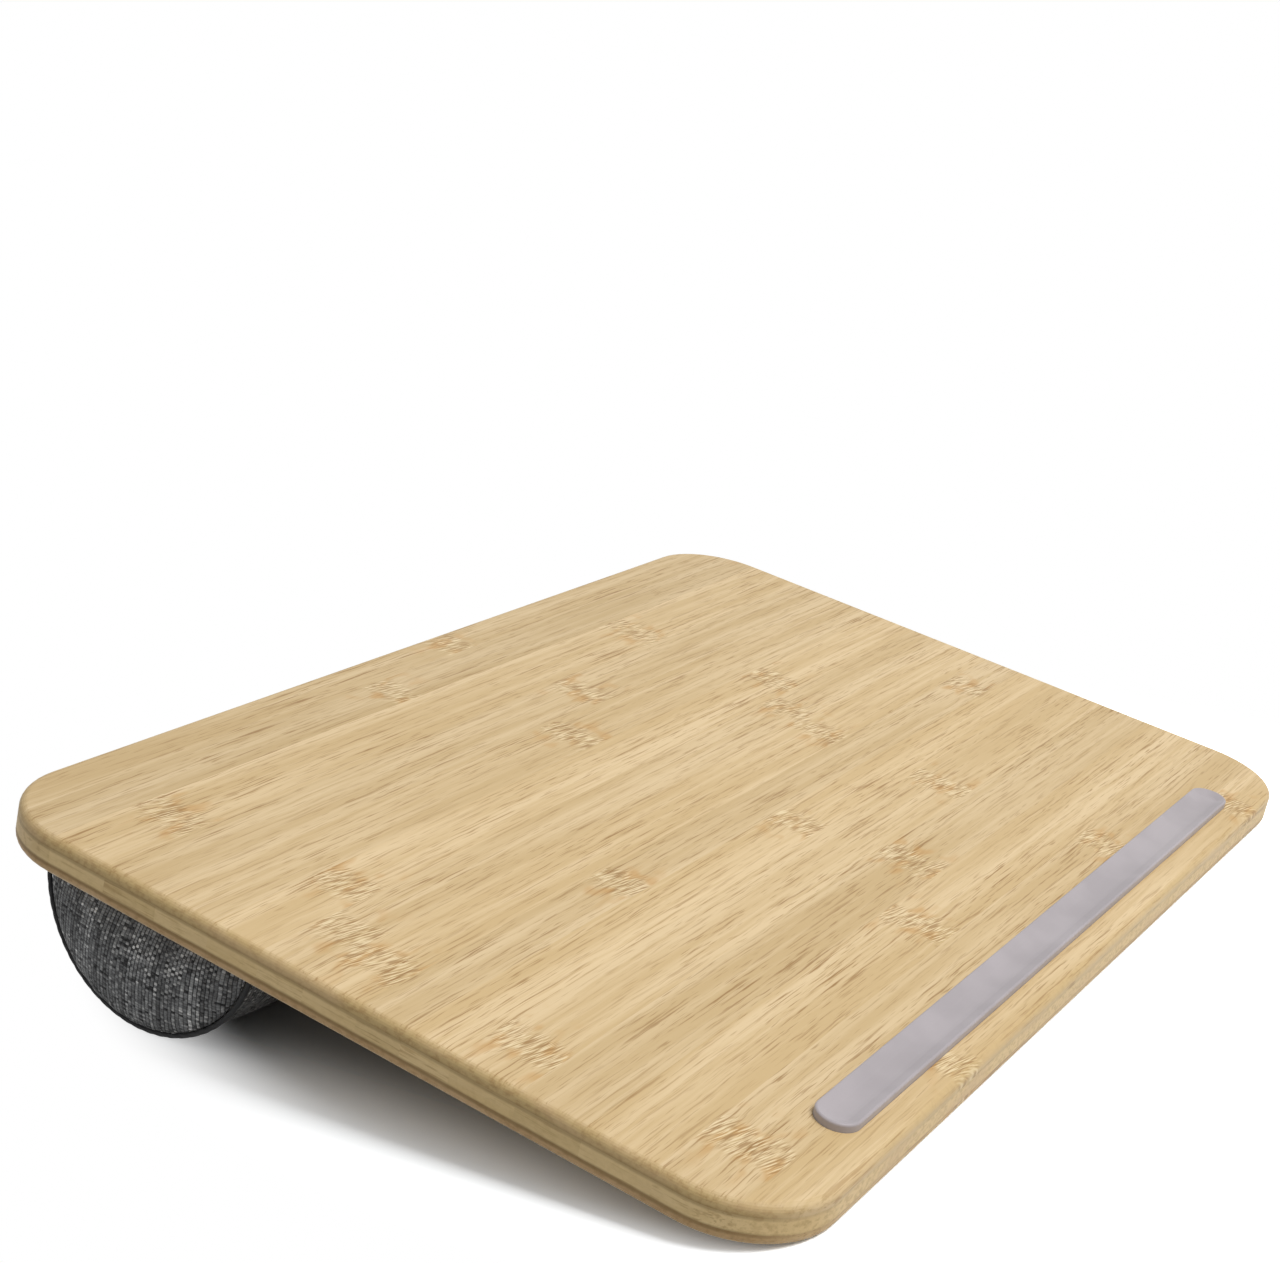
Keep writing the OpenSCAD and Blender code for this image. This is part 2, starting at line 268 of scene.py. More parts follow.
    def shade(self, colour: Input, level: Socket) -> Socket:
        """Multiplies a colour by a number."""
        return self.mix(1.0, colour, self.join(level, level, level), "MULTIPLY")

    def relief(self, height: Socket, depth: float, strength: float = 1.0) -> None:
        """Adds relief to the shader.

        Args:
            height: Height from 0 to 1.
            depth: The relief's real depth, in metres.
            strength: The share of it that shows.
        """
        node = self.add("ShaderNodeBump")
        node.inputs["Distance"].default_value = depth
        node.inputs["Strength"].default_value = strength
        self.feed(node.inputs["Height"], height)
        self.feed(self.shader.inputs["Normal"], node.outputs[0])


@dataclass(frozen=True)
class BoardFrame:
    """The board's own frame: origin at the middle of its top face, +X right, +Y back, +Z up."""

    origin: Vector
    tilt: float

    @classmethod
    def from_record(cls, record: dict) -> "BoardFrame":
        """Reads the frame off the mount on the board's top face.

        Args:
            record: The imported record.

        Returns:
            The board's frame.
        """
        mount = next(m for m in record["mounts"] if m["name"] == "work_surface")
        _, back, up = mount["axis"]
        return cls(Vector(mount["pos_m"]), math.atan2(-back, up))

    def to_row(self, points: np.ndarray) -> np.ndarray:
        """Turns points from the board's frame into the frame of the whole model.

        Args:
            points: Points in metres, three numbers each.

        Returns:
            The same points in the model's frame.
        """
        turn = np.array(Matrix.Rotation(self.tilt, 3, "X"))
        return points @ turn.T + np.array(self.origin)

    def from_row(self, points: np.ndarray) -> np.ndarray:
        """Turns points from the model's frame into the board's frame."""
        turn = np.array(Matrix.Rotation(self.tilt, 3, "X"))
        return (points - np.array(self.origin)) @ turn

    def place(self, graph: Graph) -> Socket:
        """A surface's place in the board's frame, for a material.

        Args:
            graph: The material's nodes.

        Returns:
            The place, in metres.
        """
        turned = graph.add("ShaderNodeMapping", vector_type="POINT")
        turned.inputs["Rotation"].default_value = (-self.tilt, 0.0, 0.0)
        turned.inputs["Location"].default_value = -(Matrix.Rotation(-self.tilt, 3, "X") @ self.origin)
        graph.feed(turned.inputs["Vector"], graph.here())
        return turned.outputs[0]

    def facing(self, graph: Graph) -> tuple[Socket, Socket, Socket]:
        """How far a surface faces along each of the board's axes, from 0 to 1."""
        turned = graph.add("ShaderNodeMapping", vector_type="VECTOR")
        turned.inputs["Rotation"].default_value = (-self.tilt, 0.0, 0.0)
        graph.feed(turned.inputs["Vector"], graph.add("ShaderNodeTexCoord").outputs["Normal"])
        return tuple(graph.math("ABSOLUTE", part) for part in graph.split(turned.outputs[0]))


@dataclass(frozen=True)
class Strip:
    """One bamboo strip of a face ply.

    Attributes:
        front: Distance of its front edge from the board's front edge, in millimetres.
        knuckle: Distance of its first knuckle from the board's left end, in millimetres.
        tone: How dark it is, from 0 to 1.
    """

    front: float
    knuckle: float
    tone: float


STRIPS = (
    Strip(0, 108, 0.30), Strip(14, 27, 0.55), Strip(36, 176, 0.35), Strip(57, 214, 0.65),
    Strip(78, 20, 0.35), Strip(98, 205, 0.15), Strip(113, 118, 0.60), Strip(128, 21, 0.25),
    Strip(146, 28, 0.45), Strip(162, 48, 0.20), Strip(180, 196, 0.50), Strip(199, 232, 0.65),
    Strip(218, 38, 0.40), Strip(239, 168, 0.95), Strip(255, 222, 0.80),
)


@dataclass(frozen=True)
class BambooFinish:
    """Lacquered bamboo of one ply: fibres, knuckles, cut edges and the joints beside it.

    Attributes:
        name: The material's name.
        grain: Direction of the fibres.
        pale: Colour of the light bands.
        tan: Colour of the dark bands.
        fibre: Colour of the thin dark fibres.
        edge: Colour of the cut edges.
        knuckle_every: Distance from one knuckle of a strip to the next.
        knuckle_round: Distances from a knuckle at which the fibres start to bend and bend most.
        knuckle_reach: Distances at which its strokes start and are all there.
        knuckle_ragged: How ragged its outline is.
        bend: How far the fibres stray sideways.
        strip_wander: How far the joints between the strips stray.
        joints: Height and strength of the joints between the plies.
        joint_width: Distances from a joint at which it starts to show and shows most.
        arris: Height of the lower arris, along which a painted highlight runs.
        arris_width: Distances from the arris at which the painted highlight starts and is strongest.
        edge_wander: How far these lines stray up and down.
        relief_depth: Depth of the fibres.
    """

    name: str
    grain: Grain
    pale: Triple
    tan: Triple
    fibre: Triple
    edge: Triple
    cream: Triple = (0.78, 0.64, 0.40)
    amber: Triple = (0.50, 0.27, 0.08)
    blush: Triple = (0.56, 0.39, 0.215)
    seam: Triple = (0.20, 0.125, 0.045)
    roughness: float = 0.52
    knuckle_every: float = 262 * MM
    knuckle_round: Pair = (24 * MM, 5 * MM)
    knuckle_reach: Pair = (10 * MM, 4 * MM)
    knuckle_ragged: float = 15 * MM
    bend: float = 1.3 * MM
    strip_wander: float = 1.6 * MM
    length: float = 420 * MM
    depth: float = 270 * MM
    joints: tuple[Pair, ...] = ((-3.8 * MM, 0.50), (-8.7 * MM, 0.72))
    joint_width: Pair = (1.0 * MM, 0.15 * MM)
    arris: float = -11.3 * MM
    arris_width: Pair = (0.45 * MM, 0.1 * MM)
    edge_wander: float = 0.8 * MM
    relief_depth: float = 0.05 * MM

    def material(self, board: BoardFrame) -> bpy.types.Material:
        """Builds the material.

        Args:
            board: The board's frame, which the fibres follow.

        Returns:
            The material.
        """
        graph = Graph(self.name)
        at = board.place(graph)
        x, y, z = graph.split(at)
        tone, away, seed = self._strip(graph, x, y)
        near = graph.fade(away, *self.knuckle_round)
        place = self._wavy(graph, at, near, seed)
        colour, fibres = self._fibres(graph, place, near)
        colour = graph.shade(colour, graph.fade(tone, 0.0, 1.0, 1.05, 0.90, Fade.LINEAR))
        colour, strokes = self._knuckles(graph, place, away, near, colour)
        colour = self._edges(graph, board, at, z, colour)
        graph.finish(base_color=colour, roughness=self.roughness, specular_ior_level=0.22)
        graph.relief(graph.plus(graph.times(fibres, 0.4), strokes), self.relief_depth, 0.30)
        return graph.material

    def _strip(self, graph: Graph, x: Socket, y: Socket) -> tuple[Socket, Socket, Socket]:
        """Looks up the strip at a place.

        Args:
            graph: The material's nodes.
            x: Place along the board.
            y: Place across it.

        Returns:
            The strip's tone, the distance to its nearest knuckle and a number of its own.
        """
        table = graph.add("ShaderNodeValToRGB")
        table.color_ramp.interpolation = "CONSTANT"
        stops = table.color_ramp.elements
        stops.remove(stops[1])
        for index, strip in enumerate(STRIPS):
            stop = stops.new(strip.front * MM / self.depth) if index else stops[0]
            own = math.modf(index * 0.618 + 0.13)[0]
            stop.color = (strip.knuckle * MM / self.length, strip.tone, own, 1.0)
        ragged = graph.wobble(self.strip_wander, graph.join(x, y), (14, 40, 1))
        share = graph.plus(graph.math("DIVIDE", graph.plus(y, ragged), self.depth), 0.5)
        graph.feed(table.inputs[0], share)
        colours = graph.add("ShaderNodeSeparateColor")
        graph.feed(colours.inputs[0], table.outputs[0])
        knuckle, tone, seed = colours.outputs
        there = graph.times(graph.plus(knuckle, -0.5), self.length)
        half = self.knuckle_every / 2
        away = graph.math("WRAP", graph.math("SUBTRACT", x, there), half, -half)
        return tone, graph.math("ABSOLUTE", away), seed

    def _wavy(self, graph: Graph, at: Socket, near: Socket, seed: Socket) -> Socket:
        """Shifts each strip's fibres along, and bends them where a knuckle is near.

        Args:
            graph: The material's nodes.
            at: The place in the board's frame.
            near: 1 at a knuckle and 0 away from it.
            seed: The strip's own number.

        Returns:
            The place at which the fibres are read.
        """
        bend = graph.wobble(self.bend, at, (60, 60, 60), 1.0)
        bend = graph.times(bend, graph.plus(graph.times(near, 0.5), 0.5))
        shift = graph.times(seed, 2.0)
        if self.grain is Grain.ALONG_BOARD:
            return graph.vector("ADD", at, graph.join(shift, bend))
        return graph.vector("ADD", at, graph.join(bend, shift))

    def _fibres(self, graph: Graph, place: Socket, near: Socket) -> tuple[Socket, Socket]:
        """Draws bands, streaks and thin dark fibres.

        Args:
            graph: The material's nodes.
            place: The place at which the fibres are read.
            near: 1 at a knuckle and 0 away from it.

        Returns:
            The colour, and the height of the fibres.
        """
        grain = self.grain.scale
        bands = graph.noise(place, grain(4, 110, 90), 2.0)
        streaks = graph.noise(place, grain(11, 430, 330), 3.0, 0.6)
        fibres = graph.noise(place, grain(30, 1050, 800), 3.0, 0.62)
        pores = graph.noise(place, grain(85, 1900, 1500), 1.0)
        clumps = graph.noise(place, grain(10, 75, 60), 1.0)
        colour = graph.mix(graph.fade(bands, 0.36, 0.66), self.pale, self.tan)
        colour = graph.mix(graph.times(graph.fade(streaks, 0.44, 0.66), 0.75), colour, self.tan)
        colour = graph.mix(graph.times(graph.fade(streaks, 0.46, 0.30), 0.55), colour, self.pale)
        thick = graph.plus(graph.fade(clumps, 0.35, 0.70, 0.36, 0.92), graph.times(near, 0.25))
        colour = graph.mix(graph.times(graph.fade(fibres, 0.53, 0.68), thick), colour, self.fibre)
        dashes = graph.times(graph.fade(pores, 0.60, 0.72), graph.fade(clumps, 0.30, 0.65, 0.25, 0.70))
        colour = graph.mix(dashes, colour, self.fibre)
        return colour, fibres

    def _knuckles(self, graph: Graph, place: Socket, away: Socket, near: Socket,
                  colour: Socket) -> tuple[Socket, Socket]:
        """Draws the knuckles: rows of short cream and brown strokes with amber patches.

        Args:
            graph: The material's nodes.
            place: The place at which the fibres are read.
            away: Distance to the strip's nearest knuckle.
            near: 1 at a knuckle and 0 away from it.
            colour: The colour so far.

        Returns:
            The new colour and the strokes' height.
        """
        grain = self.grain.scale
        ragged = graph.wobble(self.knuckle_ragged, place, grain(80, 190, 80), 2.0, 0.6)
        inside = graph.fade(graph.plus(away, ragged), *self.knuckle_reach)
        slant = graph.vector("ADD", place, graph.join(*reversed(graph.split(place)[:2])))
        slanted = graph.vector("ADD", graph.vector("MULTIPLY", place, (0.8, 0.8, 1)),
                               graph.vector("MULTIPLY", slant, grain(0.0, 0.2, 0.0)))
        strokes = graph.noise(slanted, grain(190, 1900, 300), 1.0, 0.5)
        patches = graph.noise(place, grain(90, 190, 90), 1.0)
        amber = graph.times(graph.fade(patches, 0.50, 0.70), graph.times(near, 0.60))
        colour = graph.mix(amber, colour, self.amber)
        dark = graph.times(inside, graph.fade(strokes, 0.51, 0.38, 0.0, 0.72))
        light = graph.times(inside, graph.fade(strokes, 0.52, 0.64, 0.0, 0.80))
        colour = graph.mix(light, graph.mix(dark, colour, self.fibre), self.cream)
        return colour, graph.times(graph.times(inside, strokes), 0.1)

    def _edges(self, graph: Graph, board: BoardFrame, at: Socket, z: Socket, colour: Socket) -> Socket:
        """Colours the cut edges, the joints between the plies and a painted highlight along the lower
        arris.

        Args:
            graph: The material's nodes.
            board: The board's frame.
            at: The place in the board's frame.
            z: Height over the top face.
            colour: The colour so far.

        Returns:
            The new colour.
        """
        left, front, up = board.facing(graph)
        cut = left if self.grain is Grain.ALONG_BOARD else front
        side = graph.fade(up, 0.992, 0.91)
        specks = graph.noise(at, (480, 480, 760), 3.0, 0.65)
        ends = graph.mix(graph.fade(specks, 0.42, 0.66, 0.0, 0.50), self.edge, self.fibre)
        patches = graph.noise(at, (38, 38, 200), 1.0)
        ends = graph.mix(graph.fade(patches, 0.48, 0.66, 0.0, 0.45), ends, self.blush)
        toned = graph.mix(graph.fade(cut, 0.3, 0.95, 0.30, 0.95), colour, ends)
        colour = graph.mix(graph.times(side, 0.95), colour, toned)
        height = graph.plus(z, graph.wobble(self.edge_wander, at, (55, 55, 55), 1.0))
        shows = graph.times(side, graph.fade(left, 0.35, 0.95, 0.18, 1.0))
        for joint, strength in self.joints:
            line = graph.times(self._line(graph, height, joint, self.joint_width), shows)
            colour = graph.mix(graph.times(line, strength), colour, self.seam)
        # Painted highlight: a thin cream line along the lower arris of the side faces.
        wear_and_highlight = self._line(graph, height, self.arris, self.arris_width)
        return graph.mix(graph.times(wear_and_highlight, graph.times(side, 0.45)), colour, self.cream)

    def _line(self, graph: Graph, height: Socket, level: float, width: Pair) -> Socket:
        """1 on a thin line along the edge at one level, and 0 above and below it."""
        return graph.fade(graph.math("ABSOLUTE", graph.plus(height, -level)), *width)


@dataclass(frozen=True)
class MouldedFinish:
    """Silicone, glue film or moulded nylon: one colour under a fine satin skin."""

    name: str
    colour: Triple
    roughness: float
    sheen: float = 0.0
    grain: float = 900.0
    depth: float = 0.02 * MM

    def material(self) -> bpy.types.Material:
        """Builds the material."""
        graph = Graph(self.name)
        at = graph.here()
        soft = graph.noise(at, (45, 45, 45))
        darker = tuple(part * 0.90 for part in self.colour)
        handled = graph.fade(soft, 0.3, 0.7, self.roughness - 0.04, self.roughness + 0.06)
        graph.finish(base_color=graph.mix(graph.fade(soft, 0.35, 0.65), self.colour, darker),
                     roughness=handled, specular_ior_level=0.35, sheen_weight=self.sheen)
        graph.relief(graph.noise(at, (self.grain,) * 3), self.depth, 0.6)
        return graph.material


@dataclass(frozen=True)
class CastMetalFinish:
    """Die-cast metal of the zip's slider, tab and stops, worn brighter in places."""

    name: str
    colour: Triple = (0.24, 0.24, 0.25)
    roughness: float = 0.30

    def material(self) -> bpy.types.Material:
        """Builds the material."""
        graph = Graph(self.name)
        at = graph.here()
        wear_and_highlight = graph.noise(at, (260, 260, 260))
        worn = tuple(part * 1.5 for part in self.colour)
        graph.finish(base_color=graph.mix(graph.fade(wear_and_highlight, 0.50, 0.75), self.colour, worn),
                     roughness=graph.fade(wear_and_highlight, 0.3, 0.7, self.roughness + 0.12, self.roughness),
                     metallic=1.0)
        graph.relief(graph.noise(at, (700, 700, 700), 3.0), 0.02 * MM, 0.5)
        return graph.material


@dataclass(frozen=True)
class WovenFinish:
    """Plain woven cloth, whose yarns follow the piece's own flat pattern.

    Attributes:
        name: The material's name.
        dark: Colour of the darkest fibres.
        middle: Colour of most fibres.
        light: Colour of the lightest fibres.
        warp: Distance from one warp yarn to the next.
        weft: Distance from one weft yarn to the next.
        depth: Height of the yarns.
        slub: How far the yarns wander.
        contrast: How much lighter the warp is than the weft, from 0 to 1.
        gap: Brightness of the painted shade in the gaps between the warp yarns, from 0 to 1.
    """

    name: str
    dark: Triple
    middle: Triple
    light: Triple
    warp: float = 1.25 * MM
    weft: float = 0.85 * MM
    depth: float = 0.30 * MM
    slub: float = 0.85 * MM
    contrast: float = 0.08
    gap: float = 0.12
    roughness: float = 0.93
    sheen: float = 0.10

    def material(self) -> bpy.types.Material:
        """Builds the material."""
        graph = Graph(self.name)
        flat = graph.add("ShaderNodeUVMap", uv_map=WEAVE).outputs[0]
        across, along, _ = graph.split(flat)
        across = graph.plus(across, graph.wobble(self.slub, flat, (160, 35, 1)))
        along = graph.plus(along, graph.wobble(self.slub, flat, (35, 160, 1)))
        warp_index, warp_round = self._round(graph, graph.math("DIVIDE", across, self.warp))
        weft_index, weft_round = self._round(graph, graph.math("DIVIDE", along, self.weft))
        over = graph.math("PINGPONG", graph.plus(warp_index, weft_index), 1.0)
        warp_yarn = self._yarn(graph, along, warp_index, self.contrast)
        weft_yarn = self._yarn(graph, across, weft_index, -self.contrast)
        warp_height = graph.times(warp_round, graph.fade(weft_round, 0.0, 1.0, 0.70, 1.0))
        weft_height = graph.times(weft_round, graph.fade(warp_round, 0.0, 1.0, 0.30, 0.85))
        height = graph.plus(graph.times(over, warp_height),
                            graph.times(graph.math("SUBTRACT", 1.0, over), weft_height))
        yarn = graph.join(warp_index, along)
        gap = graph.fade(graph.noise(yarn, (0.83, 25.0, 1), 0.0), 0.38, 0.62, self.gap, 0.85)
        columns = graph.noise(yarn, (0.71, 14.0, 1), 1.0)
        clouds = graph.noise(flat, (70, 45, 1), 2.0)
        colour = graph.mix(over, weft_yarn, warp_yarn)
        # The first two levels are painted shade: yarns darken where they dip under their neighbours and
        # in the gaps between the warp yarns. The last two are the cloth's random tone.
        for level in (
            graph.fade(height, 0.05, 0.60, 0.50, 1.0),
            graph.fade(warp_round, 0.05, 0.62, gap, 1.0),
            graph.fade(columns, 0.30, 0.68, 0.66, 1.36, Fade.LINEAR),
            graph.fade(clouds, 0.25, 0.75, 0.80, 1.22, Fade.LINEAR),
        ):
            colour = graph.shade(colour, level)
        graph.finish(base_color=colour, roughness=self.roughness, specular_ior_level=0.2,
                     sheen_weight=self.sheen, sheen_roughness=0.6)
        graph.relief(height, self.depth, 0.85)
        return graph.material

    def _round(self, graph: Graph, at: Socket) -> tuple[Socket, Socket]:
        """A yarn's number, and how round it stands there, from 0 at its sides to 1."""
        turn = graph.times(graph.math("FRACT", at), math.pi)
        return graph.math("FLOOR", at), graph.math("SINE", turn)

    def _yarn(self, graph: Graph, along: Socket, index: Socket, lighter: float) -> Socket:
        """Colour of a yarn: dark and light fibres that change along its length.

        Args:
            graph: The material's nodes.
            along: The place along the yarn, in metres.
            index: The yarn's number.
            lighter: How much lighter its fibres are than usual.

        Returns:
            The colour.
        """
        place = graph.join(along, graph.times(index, 1.37))
        fibres = graph.noise(place, (420, 1.7, 1), 3.0, 0.7)
        slow = graph.wobble(0.60, place, (60, 0.9, 1), 1.0)
        value = graph.plus(graph.plus(fibres, slow), lighter * 0.3)
        colour = graph.mix(graph.fade(value, 0.30, 0.54), self.dark, self.middle)
        return graph.mix(graph.fade(value, 0.52, 0.76), colour, self.light)


@dataclass(frozen=True)
class BeadFinish:
    """Expanded polystyrene beads: white, with the cells of their skin."""

    name: str
    colour: Triple = (0.84, 0.83, 0.80)
    cells: float = 900.0

    def material(self) -> bpy.types.Material:
        """Builds the material."""
        graph = Graph(self.name)
        skin = graph.add("ShaderNodeTexVoronoi")
        skin.inputs["Scale"].default_value = self.cells
        graph.feed(skin.inputs["Vector"], graph.here())
        grey = tuple(part * 0.88 for part in self.colour)
        cells = graph.mix(graph.fade(skin.outputs["Distance"], 0.2, 0.6), self.colour, grey)
        graph.finish(base_color=cells, roughness=0.7, subsurface_weight=0.1)
        graph.relief(graph.math("SUBTRACT", 1.0, skin.outputs["Distance"]), 0.06 * MM, 0.6)
        return graph.material


@dataclass
class MeshParts:
    """Points and faces of a piece while it is being made.

    Attributes:
        points: One point a row, in metres.
        faces: The point numbers of each face.
        flat: Each point's place in the cloth's flat pattern, or nothing for a rigid piece.
    """

    points: np.ndarray
    faces: list[tuple[int, ...]]
    flat: np.ndarray | None = None

    @classmethod
    def slab(cls, outer: np.ndarray, inner: np.ndarray, flat: np.ndarray) -> "MeshParts":
        """A closed slab between two sheets of points.

        Args:
            outer: Points of the seen side, as rows by columns by three.
            inner: Points of the hidden side.
            flat: Their places in the flat pattern.

        Returns:
            The slab.
        """
        rows, columns = outer.shape[:2]
        count = rows * columns
        number = np.arange(count).reshape(rows, columns)
        corners = (number[:-1, :-1], number[:-1, 1:], number[1:, 1:], number[1:, :-1])
        seen = np.stack([corner.ravel() for corner in corners], 1)
        rim = np.concatenate([number[0], number[1:, -1], number[-1, -2::-1], number[-2:0:-1, 0]])
        ahead = np.roll(rim, -1)
        edge = np.stack([ahead, rim, rim + count, ahead + count], 1)
        faces = np.concatenate([seen, seen[:, ::-1] + count, edge])
        points = np.concatenate([outer.reshape(-1, 3), inner.reshape(-1, 3)])
        flat = np.tile(flat.reshape(-1, 2), (2, 1))
        return cls(points, [tuple(face) for face in faces.tolist()], flat)

    def build(self, name: str) -> bpy.types.Object:
        """Makes the object.

        Args:
            name: The object's name.

        Returns:
            The object, at the origin.
        """
        mesh = bpy.data.meshes.new(name)
        mesh.from_pydata(self.points.tolist(), [], self.faces)
        if self.flat is not None:
            layer = mesh.uv_layers.new(name=WEAVE)
            corners = np.zeros(len(mesh.loops), np.int32)
            mesh.loops.foreach_get("vertex_index", corners)
            layer.uv.foreach_set("vector", self.flat[corners].astype(np.float32).ravel())
        mesh.polygons.foreach_set("use_smooth", np.ones(len(mesh.polygons), bool))
        mesh.update()
        piece = bpy.data.objects.new(name, mesh)
        bpy.context.scene.collection.objects.link(piece)
        return piece

    def thick(self, name: str, thickness: float, levels: int = 1) -> bpy.types.Object:
        """Makes the object and gives its sheet a thickness on the side away from its normals.

        Args:
            name: The object's name.
            thickness: The sheet's thickness.
            levels: How often its faces are halved and smoothed.

        Returns:
            The object, with no modifiers left.
        """
        piece = self.build(name)
        shell = piece.modifiers.new("thickness", "SOLIDIFY")
        shell.thickness = thickness
        shell.offset = -1
        smooth = piece.modifiers.new("smooth", "SUBSURF")
        smooth.levels = smooth.render_levels = levels
        graph = bpy.context.evaluated_depsgraph_get()
        mesh = bpy.data.meshes.new_from_object(piece.evaluated_get(graph))
        piece.modifiers.clear()
        piece.data = mesh
        return piece


def dress(piece: bpy.types.Object, material: bpy.types.Material) -> bpy.types.Object:
    """Gives a piece or a CAD node one material in all its slots."""
    if not piece.data.materials:
        piece.data.materials.append(material)
    for place in piece.material_slots:
        place.material = material
    return piece


def declare(piece: bpy.types.Object, body: str, slot: str, *nodes: str) -> bpy.types.Object:
    """Says what a new piece rides on and which solids it stands for.

    Args:
        piece: The piece.
        body: The body that it moves with.
        slot: The record's material slot; not used.
        nodes: The CAD nodes that it replaces.

    Returns:
        The same piece.
    """
    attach(piece, body)
    if nodes:
        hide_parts(*nodes)
    logger.info("%s made, with %d faces, on %s", piece.name, len(piece.data.polygons), body)
    return piece


def tube(path: np.ndarray, radius: np.ndarray) -> MeshParts:
    """Sweeps rings of points along a closed path that lies in a plane across X.

    Args:
        path: Points of the centre line.
        radius: The radius of each point of each ring, as rows by sides.

    Returns:
        The tube.
    """
    rows, sides = radius.shape
    ahead = np.roll(path, -1, 0) - np.roll(path, 1, 0)
    ahead /= np.linalg.norm(ahead, axis=1)[:, None]
    out = np.cross(ahead, [1.0, 0.0, 0.0])
    third = np.cross(ahead, out)
    turn = np.arange(sides) * 2 * math.pi / sides
    ring = out[:, None] * np.cos(turn)[None, :, None] + third[:, None] * np.sin(turn)[None, :, None]
    points = (path[:, None] + ring * radius[:, :, None]).reshape(-1, 3)
    below = np.arange(rows * sides).reshape(rows, sides)
    above = np.roll(below, -1, 0)
    faces = np.stack([below, np.roll(below, -1, 1), np.roll(above, -1, 1), above], -1).reshape(-1, 4)
    return MeshParts(points, [tuple(face) for face in faces.tolist()])


@dataclass(frozen=True)
class Thread:
    """Sewing thread that lies on the cloth in rows of stitches."""

    stitch: float = 2.5 * MM
    gap: float = 0.7 * MM
    radius: float = 0.24 * MM
    sides: int = 6
    swell: tuple[float, ...] = (0.15, 0.8, 1.0, 1.0, 0.8, 0.15)

    def sew(self, seams: list[tuple[np.ndarray, np.ndarray]]) -> MeshParts:
        """Sews several rows.

        Args:
            seams: The points of each row and the direction away from the cloth at each.

        Returns:
            The stitches.
        """
        points = np.concatenate([self._row(line, out) for line, out in seams])
        count, rings = points.shape[:2]
        number = np.arange(count * rings * self.sides).reshape(count, rings, self.sides)
        low, high = number[:, :-1], number[:, 1:]
        faces = np.stack([low, np.roll(low, -1, 2), np.roll(high, -1, 2), high], -1).reshape(-1, 4)
        caps = np.concatenate([number[:, 0, ::-1], number[:, -1]])
        listed = [tuple(face) for face in faces.tolist() + caps.tolist()]
        return MeshParts(points.reshape(-1, 3), listed)

    def _row(self, line: np.ndarray, out: np.ndarray) -> np.ndarray:
        """The rings of a row's stitches, as stitches by rings by sides by three."""
        run = np.concatenate([[0], np.cumsum(np.linalg.norm(np.diff(line, axis=0), axis=1))])
        starts = np.arange(self.gap, run[-1] - self.stitch, self.stitch + self.gap)
        steps = np.linspace(0, 1, len(self.swell))
        at = starts[:, None] + steps[None] * self.stitch
        middle = np.stack([np.interp(at, run, line[:, axis]) for axis in range(3)], -1)
        lift = np.stack([np.interp(at, run, out[:, axis]) for axis in range(3)], -1)
        arch = (np.sin(steps * math.pi) * 0.9 - 0.35) * self.radius
        middle = middle + lift * arch[None, :, None]
        ahead = middle[:, -1] - middle[:, 0]
        ahead /= np.linalg.norm(ahead, axis=1)[:, None]
        side = np.cross(lift[:, 0], ahead)
        turn = np.arange(self.sides) * 2 * math.pi / self.sides
        ring = side[:, None] * np.cos(turn)[None, :, None] + lift[:, :1] * np.sin(turn)[None, :, None]
        size = self.radius * np.array(self.swell)
        return middle[:, :, None] + ring[:, None] * size[None, :, None, None]


@dataclass(frozen=True)
class CushionSkin:
    """Shape of the cushion's outer skin in the board's frame.

    Attributes:
        half_length: Half the distance between the end seams.
        radius: Radius of the half-round end seams.
        swell: How far the main panel swells just past its seams.
        crown: How much fuller the belly is at half length.
        behind: Middle of the cushion, behind the middle of the board.
        below: The cushion's flat top, below the board's top face.
        heart: Depth of the point that the end panels bulge round, below the flat top.
    """

    half_length: float = 195 * MM
    radius: float = 39 * MM
    swell: float = 1.6 * MM
    crown: float = 1.2 * MM
    behind: float = 77.5 * MM
    below: float = 13.4 * MM
    heart: float = 16.38 * MM

    def point(self, x: np.ndarray, angle: np.ndarray, inset: np.ndarray | float = 0.0) -> np.ndarray:
        """Points of the round skin, or of a layer inside it.

        Args:
            x: Place along the cushion.
            angle: Angle down from the rear top edge, in radians.
            inset: Distance inwards from the skin.

        Returns:
            The points.
        """
        u = np.abs(x) / self.half_length
        rise = self.swell * (1 - u**12) * (1 - (1 - np.sin(angle)) ** 3)
        rise = rise + self.crown * (1 - u * u) * np.sin(angle) ** 2
        reach = self.radius + rise - inset
        z = np.minimum(-reach * np.sin(angle), -inset) - self.below
        return np.stack([x + 0 * angle, self.behind + reach * np.cos(angle), z], -1)

    def down(self, distance: float) -> float:
        """The angle that a distance along the end seam stands for."""
        return distance / self.radius


